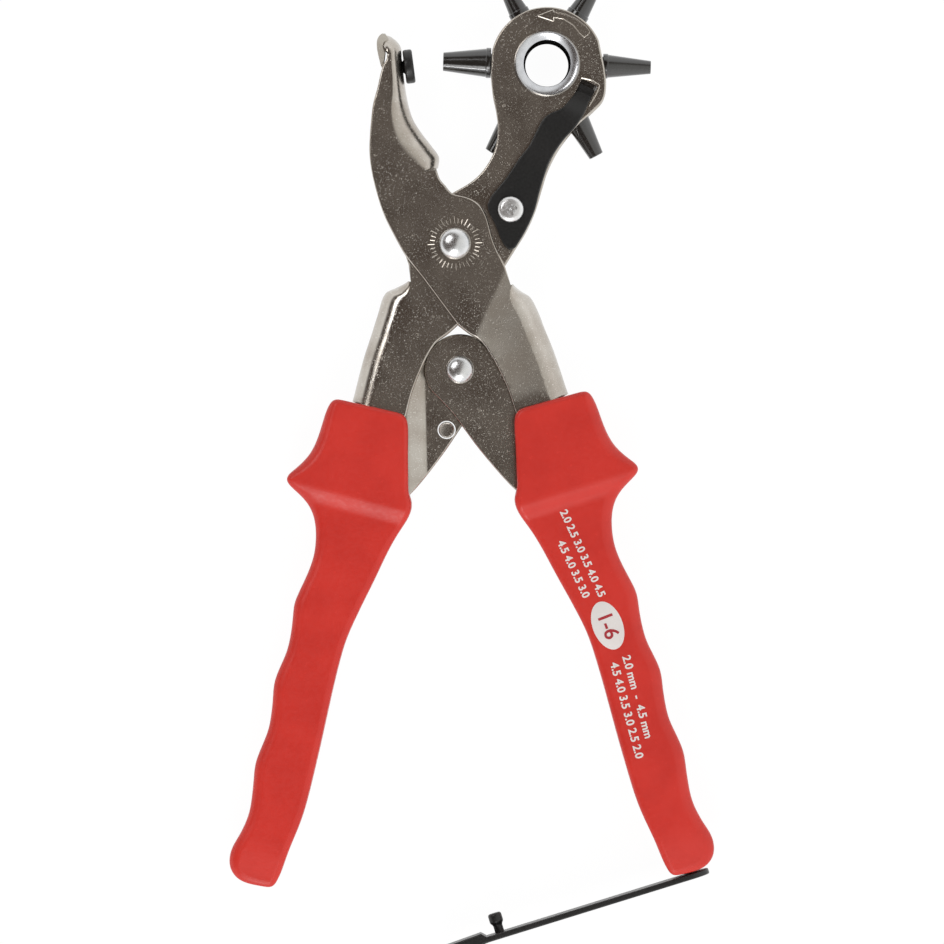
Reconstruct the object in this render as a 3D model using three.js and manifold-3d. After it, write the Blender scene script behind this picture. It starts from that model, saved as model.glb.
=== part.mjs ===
// Revolving punch pliers with compound leverage, lying on their back, jaws open. Millimetres.
// X runs to the right and Y towards the jaws, as seen from the front; Z points up, out of the front face.
// The origin is on the main pivot's axis, in the plane that the tool rests on.
//
// Two pressed steel jaw levers cross at the main pivot. Each ends in a link pin inside a grip, where a
// pressed steel handle lever hangs on it. The handle levers cross at the handle pivot, so the four levers
// make a linkage in which the handles turn about three times as far as the jaws. The right jaw carries the
// turret with its six tubes.
import * as THREE from 'three';
import { mergeVertices } from 'three/addons/utils/BufferGeometryUtils.js';
import Module from 'manifold-3d';

// Linkage, jaws open
const mainToHandlePivot = 35;
const linkPinSpread = 25;
const linkPinDrop = 50;
const closeAngle = THREE.MathUtils.degToRad(9);
const gripTilt = THREE.MathUtils.degToRad(15.8);
const handleSkew = THREE.MathUtils.degToRad(-0.6);

// Sheet metal, and the gaps between pieces
const sheet = 1.5;
const gap = 0.3;

// Turret and its place on the right jaw
const turretReach = 55.8;
const turretLean = THREE.MathUtils.degToRad(29.1);
const openTubeAngle = THREE.MathUtils.degToRad(176.4);
const wheelRadius = 15.2;
const wheelThickness = 8.6;
const wheelChamfer = 0.8;
const headRadius = 15.6;
const headStart = THREE.MathUtils.degToRad(-39.1);
const headEnd = THREE.MathUtils.degToRad(102.9);
const axleBore = 6.5;
const axleWall = 1;
const axleRim = 1.6;
const axleRimHeight = 1.3;

// Punch tubes, one for each hole diameter, in the order in which they follow round the wheel
const punchHoles = [4.5, 4, 3.5, 3, 2.5, 2];
const punchReach = 28.7;
const punchEdge = 0.3;
const punchFlare = 1.4;
const collarStep = 0.25;
const collarLength = 1.3;
const rootRadius = 2.6;
const rootLength = 4.5;

// Index arm, its nose and its screw
const armScrewRun = 15.3;
const armScrewSide = 9.4;
const armThickness = 2.6;
const noseOrbit = 13.2;
const noseAngle = THREE.MathUtils.degToRad(-39.6);
const noseLength = 3.6;
const noseWidth = 4.4;
const dimpleRadius = 1.5;
const dimpleDepth = 1.1;
const screwRadius = 1.9;
const screwHeadRadius = 3.6;
const screwHeadHeight = 2.2;
const recessLength = 3.8;
const recessWidth = 0.9;
const recessDepth = 1.2;
const nutRadius = 4;
const nutHeight = 3.2;

// Anvil
const anvilRadius = 4.7;
const anvilThickness = 2.6;
const anvilEdge = 0.7;
const anvilStemRadius = 1.6;
const anvilStemHead = 2.5;
const anvilStemHeadHeight = 1;

// Pivots and pins
const mainPinRadius = 3;
const mainHeadRadius = 4.4;
const mainHeadHeight = 2.6;
const mainBackRadius = 5;
const mainBushRadius = 4.6;
const handlePinRadius = 2.5;
const handleHeadRadius = 3.85;
const handleHeadHeight = 2;
const linkageSlack = 0.5;
const linkPinRadius = 2.5;
const spacerPinRadius = 2.2;
const spacerPinDrop = 16;
const spacerPinOffset = 4.1;

// Jaw levers
const jawWidth = 18;
const jawTipRound = 1.2;
const tailWidth = 10;
const tailBend = 5.6;
const tailEar = 7.2;
const crossRadius = 14;
const crossEnd = THREE.MathUtils.degToRad(201.6);
const joggleStart = 15.8;
const joggleRun = 5.6;
const joggleAngle = THREE.MathUtils.degToRad(-27);

// Handle levers
const handleHead = 9.8;
const handleHeadEnd = THREE.MathUtils.degToRad(261);
const handleEar = 4.4;
const tangHalf = 3.6;
const tangBend = 2.6;
const tangLength = 108;
const handleJoggleStart = 10.2;
const handleJoggleRun = 4.4;

// Grips
const gripLength = 130.2;
const gripWidth = 8;
const gripWall = 3;
const gripSideWall = 2.5;
const shieldLength = 19;
const shieldSlope = 6;
const outerRound = 3;
const innerRound = 1.5;
const pocketMargin = 0.8;
const pegRadius = 1.9;
const pegLength = 6;

// Closing strap
const strapThickness = 1.6;
const strapWidth = 10;
const strapHeel = 4.8;
const studReach = 55.4;
const studNeck = 1.3;
const studHead = 1.9;
const studHeight = 5.5;
const tabLength = 16;
const tabThickness = 3.4;
const tabRise = 1.3;

// Return spring
const springWire = 1.5;
const springTurns = 2;
const springLegRun = 27;

// Facets
const roundSides = 24;
const smallSides = 16;
const splineSteps = 3;
const gripSteps = 2;
const bendSteps = 6;
const springSteps = 60;
const turnSteps = 16;

// Levels of the sheets, measured from the tool's middle plane
const wheelFace = wheelThickness / 2;
const innerJawIn = wheelFace + gap;
const innerJawOut = innerJawIn + sheet;
const outerJawIn = innerJawOut + gap;
const outerJawOut = outerJawIn + sheet;
const outerEarOut = innerJawIn - gap;
const outerEarIn = outerEarOut - sheet;
const innerEarOut = outerEarIn - gap;
const shieldIn = innerJawOut + gap;
const shieldOut = shieldIn + gripWall;
const tangIn = outerEarOut + gap;
const gripOut = tangIn + gripWall;
const armBottom = innerJawOut + gap;
const armTop = armBottom + armThickness;
const turretStep = (2 * Math.PI) / punchHoles.length;

// Plan of the linkage
const mainPivot = new THREE.Vector2(0, 0);
const handlePivot = new THREE.Vector2(0, -mainToHandlePivot);
const rightLink = new THREE.Vector2(linkPinSpread, -linkPinDrop);
const jawArm = rightLink.distanceTo(mainPivot);
const handleArm = rightLink.distanceTo(handlePivot);
const reach = turretReach + linkPinDrop + gripLength;

const wasm = await Module();
wasm.setup();

// Solids and flat shapes

function solid(geometry) {
  const bare = geometry.clone();
  bare.deleteAttribute('normal');
  bare.deleteAttribute('uv');
  const merged = mergeVertices(bare, 1e-4);
  const corners = Array.from(merged.index.array);
  const faces = [];
  for (let i = 0; i < corners.length; i += 3) {
    const [a, b, c] = corners.slice(i, i + 3);
    if (a !== b && b !== c && c !== a) faces.push(a, b, c);
  }
  return new wasm.Manifold(new wasm.Mesh({
    numProp: 3,
    vertProperties: new Float32Array(merged.attributes.position.array),
    triVerts: new Uint32Array(faces),
  }));
}

function geometryOf(body) {
  const mesh = body.getMesh();
  const corners = new Float32Array(mesh.numVert * 3);
  for (let i = 0; i < mesh.numVert; i++) {
    for (let k = 0; k < 3; k++) corners[3 * i + k] = mesh.vertProperties[mesh.numProp * i + k];
  }
  const geometry = new THREE.BufferGeometry();
  geometry.setAttribute('position', new THREE.BufferAttribute(corners, 3));
  geometry.setIndex(new THREE.BufferAttribute(new Uint32Array(mesh.triVerts), 1));
  geometry.computeVertexNormals();
  return geometry;
}

function extrude(points, low, high) {
  const geometry = new THREE.ExtrudeGeometry(new THREE.Shape(points), {
    depth: high - low, bevelEnabled: false, steps: 1,
  });
  return solid(geometry.translate(0, 0, low));
}

function union(bodies) {
  return bodies.reduce((whole, piece) => whole.add(piece));
}

function cut(body, tools) {
  return tools.reduce((rest, tool) => rest.subtract(tool), body);
}

// A body turned about Z from [radius, height] pairs that start and end on the axis, or close on themselves.
function turned(profile, sides = roundSides) {
  const points = profile.map(([radius, height]) => new THREE.Vector2(radius, height));
  return solid(new THREE.LatheGeometry(points, sides).rotateX(Math.PI / 2));
}

function pin(radius, low, high, sides = roundSides) {
  return turned([[0, low], [radius, low], [radius, high], [0, high]], sides);
}

function at(body, point) {
  return body.translate([point.x, point.y, 0]);
}

// Stands a body's Z axis in the plan, pointing along a direction from a point.
function laid(body, point, direction) {
  const angle = THREE.MathUtils.radToDeg(Math.atan2(direction.y, direction.x));
  return at(body.rotate([0, 90, 0]).rotate([0, 0, angle]), point);
}

function mirrored(body) {
  return body.mirror([1, 0, 0]);
}

function arc(centre, radius, from, to, steps) {
  return Array.from({ length: steps + 1 }, (_, i) => {
    const angle = from + ((to - from) * i) / steps;
    return new THREE.Vector2(centre.x + radius * Math.cos(angle), centre.y + radius * Math.sin(angle));
  });
}

function spline(points, steps = splineSteps) {
  return new THREE.SplineCurve(points).getPoints(steps * (points.length - 1));
}

function mirrorPoints(points) {
  return points.map((p) => new THREE.Vector2(-p.x, p.y)).reverse();
}

// A working line from one centre towards another: at(run, side) is a point run along it and side to its left.
function lineFrame(from, to) {
  const along = to.clone().sub(from).normalize();
  const left = new THREE.Vector2(-along.y, along.x);
  return {
    from,
    along,
    left,
    angle: Math.atan2(along.y, along.x),
    length: from.distanceTo(to),
    at: (run, side) => from.clone().addScaledVector(along, run).addScaledVector(left, side),
  };
}

// A closed skin through rings of equally many points; the caps are given as triangles of ring places.
function skin(rings, caps) {
  const count = rings[0].length;
  const faces = [];
  for (let i = 0; i + 1 < rings.length; i++) {
    for (let k = 0; k < count; k++) {
      const a = i * count + k;
      const b = i * count + ((k + 1) % count);
      faces.push(a, b, b + count, a, b + count, a + count);
    }
  }
  const last = (rings.length - 1) * count;
  for (const [a, b, c] of caps) faces.push(a, c, b, last + a, last + b, last + c);
  const geometry = new THREE.BufferGeometry().setFromPoints(rings.flat());
  geometry.setIndex(faces);
  const body = solid(geometry);
  if (body.volume() > 0) return body;
  geometry.setIndex(faces.reverse());
  return solid(geometry);
}

// Pressed sheet

// The web that joins the front and back plates in a round bend. Each rib holds the point where the bend
// leaves the plates, the direction in which it bulges, its depth, its level and its lap over the plates.
function pressedWeb(ribs) {
  const rings = ribs.map(({ tangent, outwards, depth, level, lap }) => {
    const ring = [];
    const place = (out, z) => ring.push(new THREE.Vector3(
      tangent.x + outwards.x * out, tangent.y + outwards.y * out, z));
    const sweep = (deep, high, from, to) => {
      for (let i = 0; i <= bendSteps; i++) {
        const angle = from + ((to - from) * i) / bendSteps;
        place(deep * Math.cos(angle), high * Math.sin(angle));
      }
    };
    place(-lap, level);
    sweep(depth, level, Math.PI / 2, -Math.PI / 2);
    place(-lap, -level);
    place(-lap, sheet - level);
    sweep(Math.max(depth - sheet, sheet / 4), level - sheet, -Math.PI / 2, Math.PI / 2);
    place(-lap, level - sheet);
    return ring;
  });
  const count = rings[0].length;
  const caps = [];
  for (let i = 0; i + 1 < count / 2; i++) {
    caps.push([i, i + 1, count - 1 - i], [i + 1, count - 2 - i, count - 1 - i]);
  }
  return skin(rings, caps);
}

// A front and a back plate bent to a profile of [distance, level] pairs along a direction in the plan.
function bentPlates(levels, angle) {
  const direction = new THREE.Vector3(Math.cos(angle), Math.sin(angle), 0);
  const up = new THREE.Vector3(0, 0, 1);
  const turn = new THREE.Matrix4().makeBasis(direction, up, direction.clone().cross(up));
  return [1, -1].map((side) => {
    const outer = levels.map(([distance, level]) => new THREE.Vector2(distance, side * level));
    const inner = levels.map(([distance, level]) => new THREE.Vector2(distance, side * (level - sheet)));
    const band = new THREE.Shape([...inner, ...outer.reverse()]);
    const strip = new THREE.ExtrudeGeometry(band, { depth: 2 * reach, bevelEnabled: false, steps: 1 });
    return solid(strip.translate(0, 0, -reach).applyMatrix4(turn));
  });
}

function pressedLever(footprint, levels, angle, webs, holes) {
  const blank = extrude(footprint, -reach, reach);
  const plates = bentPlates(levels, angle).map((plate) => plate.intersect(blank));
  return cut(union([...plates, ...webs]), holes);
}

function throughHole(radius, centre) {
  return at(pin(radius + gap, -reach, reach), centre);
}

// The tail that both jaw levers share, drawn for the right side. Shares of the lever's arm, and of the tail's
// width; the third share of a web row is of the bend. The shoulder where the web starts is each lever's own.
const tailLine = lineFrame(mainPivot, rightLink);
const tailWebShares = [[0.48, 1.13, 1], [0.58, 1.06, 1], [0.68, 1, 1], [0.78, 0.91, 1], [0.885, 0.8, 1]];
const anvilShoulderShares = [[0.312, 0.88, 0.05], [0.33, 0.91, 0.3], [0.365, 0.995, 0.7], [0.405, 1.12, 1]];
const turretShoulderShares = [[0.262, 0.75, 0.05], [0.285, 0.83, 0.35], [0.32, 0.99, 0.75], [0.362, 1.18, 1]];
const tailOpenShares = [
  [0.36, -1], [0.42, -0.85], [0.48, -0.67], [0.56, -0.6], [0.66, -0.6], [0.76, -0.64], [0.87, -0.75],
];

function tailPoint([run, side]) {
  return tailLine.at(run * jawArm, side * tailWidth);
}

function tailTangent([run, side, bend]) {
  return tailLine.at(run * jawArm, side * tailWidth - bend * tailBend);
}

function tailWeb(shoulder, levelAt) {
  return pressedWeb([...shoulder, ...tailWebShares].map((share) => {
    const tangent = tailTangent(share);
    return {
      tangent, outwards: tailLine.left, depth: share[2] * tailBend, level: levelAt(tangent), lap: sheet,
    };
  }));
}

// Down the open side, round the ear and up the line where the web begins, counter-clockwise.
function tailOutline(shoulder) {
  return [
    ...spline(tailOpenShares.map(tailPoint)),
    ...arc(rightLink, tailEar, tailLine.angle - Math.PI / 2, tailLine.angle + Math.PI / 3, 2 * bendSteps),
    ...[...shoulder, ...tailWebShares].reverse().map(tailTangent),
  ];
}

// Turret and anvil places
const turretWay = new THREE.Vector2(Math.sin(turretLean), Math.cos(turretLean));
const turretCentre = turretWay.clone().multiplyScalar(turretReach);
const turretLine = lineFrame(mainPivot, turretCentre);
const closedTubeAngle = openTubeAngle + closeAngle;
const punchWay = new THREE.Vector2(Math.cos(closedTubeAngle), Math.sin(closedTubeAngle));
const anvilFace = turretCentre.clone().rotateAround(mainPivot, closeAngle)
  .addScaledVector(punchWay, punchReach + gap);
const jawLine = lineFrame(mainPivot, anvilFace);

// The left jaw: shares of the distance to the anvil, and of the jaw's width. A web row gives the sides of the
// bend's start and of its far edge, and a tip row an angle in degrees and the bend's depth.
const jawBackShares = [
  [1.1, 0.345], [1.06, 0.37], [1.03, 0.405], [0.985, 0.5], [0.93, 0.59], [0.84, 0.74], [0.7, 0.87],
  [0.6, 0.955], [0.5, 0.995], [0.39, 0.995], [0.25, 0.965], [0.12, 0.88], [0, 0.78], [-0.14, 0.6],
];
const jawWebShares = [
  [0.43, 0.32, -0.02], [0.48, 0.42, -0.06], [0.565, 0.5, 0.075], [0.64, 0.545, 0.16], [0.72, 0.55, 0.215],
  [0.83, 0.485, 0.205], [0.91, 0.41, 0.185], [1, 0.31, 0.15], [1.06, 0.26, 0.125],
];
const jawTipShares = [[0, 0.08], [30, 0.095], [62, 0.13], [85, 0.185], [101, 0.228], [115, 0.2]];
const jawTipCentreShares = [1.1, 0.272];
const jawHookShares = [
  [1.204, 0.329], [1.195, 0.402], [1.17, 0.448], [1.137, 0.463], [1.087, 0.474], [1.045, 0.474], [1.05, 0.43],
  [1.096, 0.405], [1.135, 0.389], [1.161, 0.353], [1.17, 0.285],
];
const throatShares = [[0.42, 0.02], [0.36, 0], [0.32, -0.055], [0.269, -0.135]];
const shoulderShares = [[0.227, -0.356], [0.177, -0.498], [0.109, -0.563]];
const shoulderTailShares = [[0.212, 0.917], [0.083, 0.964]];

function jawPoint([run, side]) {
  return jawLine.at(run * jawLine.length, side * jawWidth);
}

function jawWeb() {
  const right = jawLine.left.clone().negate();
  const ribs = jawWebShares.map(([run, near, far]) => ({
    tangent: jawPoint([run, near]),
    outwards: right,
    depth: (near - far) * jawWidth,
    level: outerJawOut,
    lap: sheet,
  }));
  const tip = jawPoint(jawTipCentreShares);
  for (const [degrees, depth] of jawTipShares) {
    const outwards = right.clone().rotateAround(mainPivot, THREE.MathUtils.degToRad(degrees));
    ribs.push({
      tangent: tip.clone().addScaledVector(outwards, jawTipRound),
      outwards,
      depth: depth * jawWidth,
      level: outerJawOut,
      lap: jawTipRound / 2,
    });
  }
  return pressedWeb(ribs);
}

// The web's end, curled back over the tip as a hook.
function jawHook() {
  return extrude(jawHookShares.map(jawPoint), -outerJawIn, outerJawIn);
}

function joggledLevel(point) {
  const run = point.x * Math.cos(joggleAngle) + point.y * Math.sin(joggleAngle);
  const done = THREE.MathUtils.clamp((run - joggleStart) / joggleRun, 0, 1);
  return outerJawOut + (innerJawOut - outerJawOut) * done;
}

function anvilLever() {
  const tip = jawPoint(jawTipCentreShares);
  const tipStart = jawLine.angle - Math.PI / 2;
  const footprint = [
    ...arc(tip, jawTipRound, tipStart, tipStart + Math.PI, bendSteps),
    ...spline(jawBackShares.map(jawPoint)),
    ...tailOutline(anvilShoulderShares),
    ...shoulderTailShares.map(tailPoint),
    ...spline([...shoulderShares].reverse().map(jawPoint)),
    ...[...throatShares].reverse().map(jawPoint),
    ...jawWebShares.map(([run, near]) => jawPoint([run, near])),
  ];
  const levels = [
    [-reach, outerJawOut], [joggleStart, outerJawOut], [joggleStart + joggleRun, innerJawOut],
    [reach, innerJawOut],
  ];
  const webs = [jawWeb(), jawHook(), tailWeb(anvilShoulderShares, joggledLevel)];
  return pressedLever(footprint, levels, joggleAngle, webs, [
    throughHole(mainPinRadius, mainPivot),
    throughHole(linkPinRadius, rightLink),
    laid(pin(anvilStemRadius + gap, -jawWidth, jawWidth, smallSides), anvilFace, punchWay),
    laid(pin(anvilRadius + gap, -jawWidth, anvilThickness + gap), anvilFace, punchWay),
  ]);
}

// The anvil: a soft disc that the punch meets, on a stem through the jaw's web.
function anvilPad() {
  const back = anvilThickness;
  const stemEnd = back + 2 * gap + sheet;
  const stemTip = stemEnd + anvilStemHeadHeight;
  return laid(turned([
    [0, 0], [anvilRadius - anvilEdge, 0], [anvilRadius - anvilEdge / 4, anvilEdge / 4],
    [anvilRadius, anvilEdge], [anvilRadius, back - anvilEdge], [anvilRadius - anvilEdge, back],
    [anvilStemRadius, back], [anvilStemRadius, stemEnd], [anvilStemHead, stemEnd], [anvilStemHead, stemTip],
    [0, stemTip],
  ]), anvilFace, punchWay);
}

// The right jaw: shares of the turret's reach and of its head's radius.
const turretThroatShares = [
  [0.83, 0.81], [0.74, 0.6], [0.677, 0.42], [0.613, 0.27], [0.53, 0.15], [0.453, 0.121], [0.375, 0.154],
  [0.305, 0.249], [0.213, 0.458],
];
const turretBackShares = [
  [0, -0.96], [0.11, -0.995], [0.215, -1.026], [0.323, -1.006], [0.437, -0.933], [0.529, -0.878],
  [0.64, -0.872], [0.733, -0.923], [0.814, -1], [0.896, -1.112], [0.97, -1.179], [1.04, -1.1], [1.11, -0.94],
];

function turretPoint([run, side]) {
  return turretLine.at(run * turretReach, side * headRadius);
}

function turretLever() {
  const crossing = turretLine.angle + Math.atan2(headRadius, turretReach);
  const footprint = [
    ...arc(turretCentre, headRadius, turretLine.angle + headStart, turretLine.angle + headEnd, 2 * bendSteps),
    ...spline(turretThroatShares.map(turretPoint)),
    ...arc(mainPivot, crossRadius, crossing + Math.PI / 8, crossEnd, 2 * bendSteps),
    ...mirrorPoints(tailOutline(turretShoulderShares)),
    ...spline(turretBackShares.map(turretPoint)),
  ];
  const levels = [[-reach, innerJawOut], [reach, innerJawOut]];
  const web = mirrored(tailWeb(turretShoulderShares, () => innerJawOut));
  return pressedLever(footprint, levels, turretLine.angle, [web], [
    throughHole(mainPinRadius, mainPivot),
    throughHole(linkPinRadius, leftLink),
    throughHole(axleBore + axleWall, turretCentre),
    throughHole(screwRadius, armScrew),
    armNose(2 * gap, innerJawIn - gap, armTop),
  ]);
}

// Turret

function turretAxle() {
  const wall = axleBore + axleWall;
  const rim = wall + axleRim;
  const seat = innerJawOut + gap;
  const roll = (side) => Array.from({ length: bendSteps / 2 + 1 }, (_, i) => {
    const angle = (Math.PI * 2 * i) / bendSteps;
    const radius = (axleBore + rim) / 2 + ((rim - axleBore) / 2) * Math.cos(angle);
    return [radius, side * (seat + axleRimHeight * Math.sin(angle))];
  });
  return turned([
    [wall, -seat], [wall, seat], ...roll(1), ...roll(-1).reverse(), [wall, -seat],
  ]);
}

function turretWheel() {
  const bore = axleBore + axleWall + gap;
  const rim = wheelRadius - wheelChamfer;
  const shoulder = wheelFace - wheelChamfer;
  const blank = turned([
    [bore, -wheelFace], [rim, -wheelFace], [wheelRadius, -shoulder], [wheelRadius, shoulder],
    [rim, wheelFace], [bore, wheelFace], [bore, -wheelFace],
  ]);
  const seats = punchHoles.flatMap((_, i) => {
    const tube = turnPlace(i);
    const dimple = noseAngle + i * turretStep;
    return [
      pin(rootRadius + gap, 0, reach, smallSides).rotate([0, 90, THREE.MathUtils.radToDeg(tube)]),
      turned([[0, -dimpleDepth], [dimpleRadius, 0], [dimpleRadius, gap], [0, gap]], smallSides)
        .translate([noseOrbit * Math.cos(dimple), noseOrbit * Math.sin(dimple), wheelFace]),
    ];
  });
  return cut(blank, seats);
}

// A hollow conical punch on a collar and a threaded root, along Z with its edge on top.
function punchTube(hole) {
  const bore = hole / 2;
  const tip = bore + punchEdge;
  const base = tip + punchFlare;
  const flange = base + collarStep;
  const root = wheelRadius - rootLength;
  const collar = wheelRadius + gap;
  const shank = collar + collarLength;
  return turned([
    [bore, root], [rootRadius, root], [rootRadius, collar], [flange, collar], [flange, shank],
    [base, shank], [tip, punchReach], [bore, punchReach], [bore, root],
  ], smallSides);
}

function turnPlace(index) {
  return openTubeAngle + index * turretStep;
}

// Index arm

const armScrew = turretLine.at(armScrewRun, -armScrewSide);
const armLeftShares = [
  [0.093, -0.917], [0.104, -0.782], [0.174, -0.481], [0.244, -0.196], [0.405, -0.279], [0.523, -0.327],
  [0.593, -0.378], [0.692, -0.378], [0.772, -0.41], [0.846, -0.628], [0.927, -0.705], [1.005, -0.667],
];
const armRightShares = [
  [1.016, -0.984], [0.932, -1.006], [0.848, -1.025], [0.763, -0.955], [0.663, -0.872], [0.561, -0.84],
  [0.505, -0.88], [0.434, -0.9], [0.323, -0.99], [0.215, -1.01], [0.115, -0.985],
];

function armNose(clearance, low, high) {
  const centre = new THREE.Vector2(Math.cos(noseAngle), Math.sin(noseAngle)).multiplyScalar(noseOrbit)
    .add(turretCentre);
  const frame = lineFrame(centre, centre.clone().add(turretLine.along));
  const halfLength = noseLength / 2 + clearance;
  const halfWidth = noseWidth / 2 + clearance;
  return extrude([
    frame.at(-halfLength, -halfWidth), frame.at(halfLength, -halfWidth), frame.at(halfLength, halfWidth),
    frame.at(-halfLength, halfWidth),
  ], low, high);
}

function indexArm() {
  const left = armLeftShares.map(turretPoint);
  const right = armRightShares.map(turretPoint);
  const blade = extrude([...spline([...right], 2), ...left], armBottom, armTop);
  const nose = armNose(0, innerJawIn, (armBottom + armTop) / 2);
  return cut(blade.add(nose), [throughHole(screwRadius, armScrew)]);
}

function dome(radius, height) {
  return Array.from({ length: bendSteps / 2 }, (_, i) => {
    const angle = (Math.PI * i) / bendSteps;
    return [radius * Math.cos(angle), height * Math.sin(angle)];
  });
}

function indexScrew() {
  const seat = armTop + gap;
  const top = seat + screwHeadHeight;
  const end = innerJawIn - gap - nutHeight;
  const head = dome(screwHeadRadius, screwHeadHeight).map(([radius, height]) => [radius, seat + height]);
  const body = turned([
    [0, end], [screwRadius, end], [screwRadius, seat], ...head, [0, top],
  ]);
  const slot = [0, Math.PI / 2].map((turn) => {
    const frame = lineFrame(mainPivot, new THREE.Vector2(Math.cos(turn), Math.sin(turn)));
    const halfLength = recessLength / 2;
    const halfWidth = recessWidth / 2;
    return extrude([
      frame.at(-halfLength, -halfWidth), frame.at(halfLength, -halfWidth), frame.at(halfLength, halfWidth),
      frame.at(-halfLength, halfWidth),
    ], top - recessDepth, top + gap);
  });
  return at(cut(body, slot), armScrew);
}

function indexNut() {
  const top = innerJawIn - gap;
  const nut = pin(nutRadius, top - nutHeight, top, 6).rotate([0, 0, THREE.MathUtils.radToDeg(turretLean)]);
  return cut(at(nut, armScrew), [throughHole(screwRadius, armScrew)]);
}

// Pivots and pins

function mainPivotRivet() {
  const seat = outerJawOut + gap;
  const head = dome(mainHeadRadius, mainHeadHeight).map(([radius, height]) => [radius, seat + height]);
  return turned([
    [0, -shieldOut], [mainBackRadius - gap, -shieldOut], [mainBackRadius, gap - shieldOut],
    [mainBackRadius, -seat], [mainPinRadius, -seat], [mainPinRadius, seat], ...head,
    [0, seat + mainHeadHeight],
  ]);
}

function mainPivotBush() {
  const end = innerJawIn - gap;
  const bore = mainPinRadius + gap;
  return turned([
    [mainBushRadius, -end], [mainBushRadius, end], [bore, end], [bore, -end], [mainBushRadius, -end],
  ]);
}

function handlePivotRivet() {
  const seat = outerEarOut + gap;
  const head = dome(handleHeadRadius, handleHeadHeight).map(([radius, height]) => [radius, seat + height]);
  const back = head.map(([radius, height]) => [radius, -height]).reverse();
  const tip = seat + handleHeadHeight;
  return at(turned([
    [0, -tip], ...back, [handlePinRadius, -seat], [handlePinRadius, seat], ...head, [0, tip],
  ]), handlePivot);
}

// Handle levers, drawn for the right side. Edge shares are of the handle's arm, tang shares of the grip's
// length and width.
const leftLink = new THREE.Vector2(-linkPinSpread, -linkPinDrop);
const spacerPin = new THREE.Vector2(-spacerPinOffset, -spacerPinDrop).add(handlePivot);
const handleLine = lineFrame(handlePivot, rightLink);
const gripWay = new THREE.Vector2(Math.sin(gripTilt), -Math.cos(gripTilt));
const gripLine = lineFrame(rightLink, rightLink.clone().add(gripWay));
const handleEdgeShares = [[0.14, -0.39], [0.29, -0.46], [0.54, -0.57], [0.95, -0.715]];
const tangEdgeShares = [[0.168, -1.375], [0.245, -0.9], [0.33, -0.45]];
const tangWebShares = [0.16, 1];

function handleOutline(webSide) {
  return [
    ...arc(handlePivot, handleHead, handleLine.angle + Math.PI / 2, handleLine.angle + handleHeadEnd,
      2 * bendSteps),
    ...handleEdgeShares.map(([run, side]) => handleLine.at(run * handleArm, side * handleArm)),
    ...tangEdgeShares.map(([run, side]) => gripLine.at(run * gripLength, side * gripWidth)),
    gripLine.at(tangLength, -tangHalf),
    ...tangWebShares.map((run) => gripLine.at(run * tangLength, webSide)).reverse(),
    ...arc(rightLink, handleEar, gripLine.angle + Math.PI / 2, handleLine.angle + Math.PI / 2, bendSteps / 2),
  ];
}

function handleLever(levels, slack, holes) {
  const web = pressedWeb(tangWebShares.map((run) => ({
    tangent: gripLine.at(run * tangLength, tangHalf - tangBend),
    outwards: gripLine.left,
    depth: tangBend,
    level: outerEarOut,
    lap: sheet,
  })));
  return pressedLever(handleOutline(tangHalf - tangBend), levels, 0, [web], [
    throughHole(handlePinRadius + slack, handlePivot),
    throughHole(linkPinRadius, rightLink),
    ...holes,
  ]);
}

function rightHandleLever() {
  return handleLever([[-reach, outerEarOut], [reach, outerEarOut]], 0, []);
}

function leftHandleLever() {
  const joggleEnd = handleJoggleStart + handleJoggleRun;
  return mirrored(handleLever([
    [-reach, innerEarOut], [handleJoggleStart, innerEarOut], [joggleEnd, outerEarOut], [reach, outerEarOut],
  ], linkageSlack, [mirrored(throughHole(spacerPinRadius, spacerPin))]));
}

// Grips, drawn for the right side: shares of the grip's length, of its width, and of an edge's round. The
// outer side has the finger guard and the finger grooves, the inner side is open along the shield.
const gripOuterShares = [
  [-0.042, 1.5, 0.5], [-0.02, 1.61, 0.8], [0.053, 1.7, 1], [0.086, 1.84, 0.9], [0.118, 2.13, 0.5],
  [0.145, 2.42, 0.3],
];
const gripFingerShares = [
  [0.151, 2.34, 0.3], [0.157, 1.99, 0.4], [0.171, 1.61, 0.7], [0.195, 1.29, 0.9], [0.221, 1.06, 1],
  [0.252, 0.9, 1], [0.29, 0.806, 1], [0.328, 0.85, 1], [0.366, 0.963, 1], [0.4, 1.05, 1], [0.43, 0.975, 1],
  [0.466, 0.9, 1],
  [0.504, 0.888, 1], [0.54, 0.985, 1], [0.573, 1.04, 1], [0.62, 0.91, 1], [0.672, 0.83, 1], [0.715, 0.92, 1],
  [0.75, 0.975, 1], [0.8, 0.85, 1], [0.855, 0.76, 1], [0.9, 0.875, 1], [0.94, 1.05, 1], [0.975, 0.95, 0.9],
  [0.995, 0.6, 0.8], [1, 0.2, 0.7],
];
const gripInnerShares = [
  [0.996, -0.68, 0.5], [0.97, -0.79, 0.5], [0.916, -0.875, 0.5], [0.832, -1.05, 0.5], [0.71, -1.05, 0.5],
  [0.527, -0.963, 0.5], [0.45, -0.99, 0.5], [0.378, -1.19, 0.5], [0.317, -1.4, 0.5], [0.237, -1.64, 0.5],
  [0.198, -1.8, 0.5], [0.155, -2.03, 0.4],
];
const pocketWallShares = [1.64, 1.71];
const gripCheekShares = [[0.115, -1.825, 0.4], [0.038, -1.49, 0.4], [-0.036, -1.16, 0.4], [-0.046, -1.02, 0.4]];

function gripSide(shares) {
  const points = shares.map((share) => new THREE.Vector3(...share));
  return new THREE.CatmullRomCurve3(points, false, 'centripetal').getPoints(gripSteps * (shares.length - 1));
}

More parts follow.
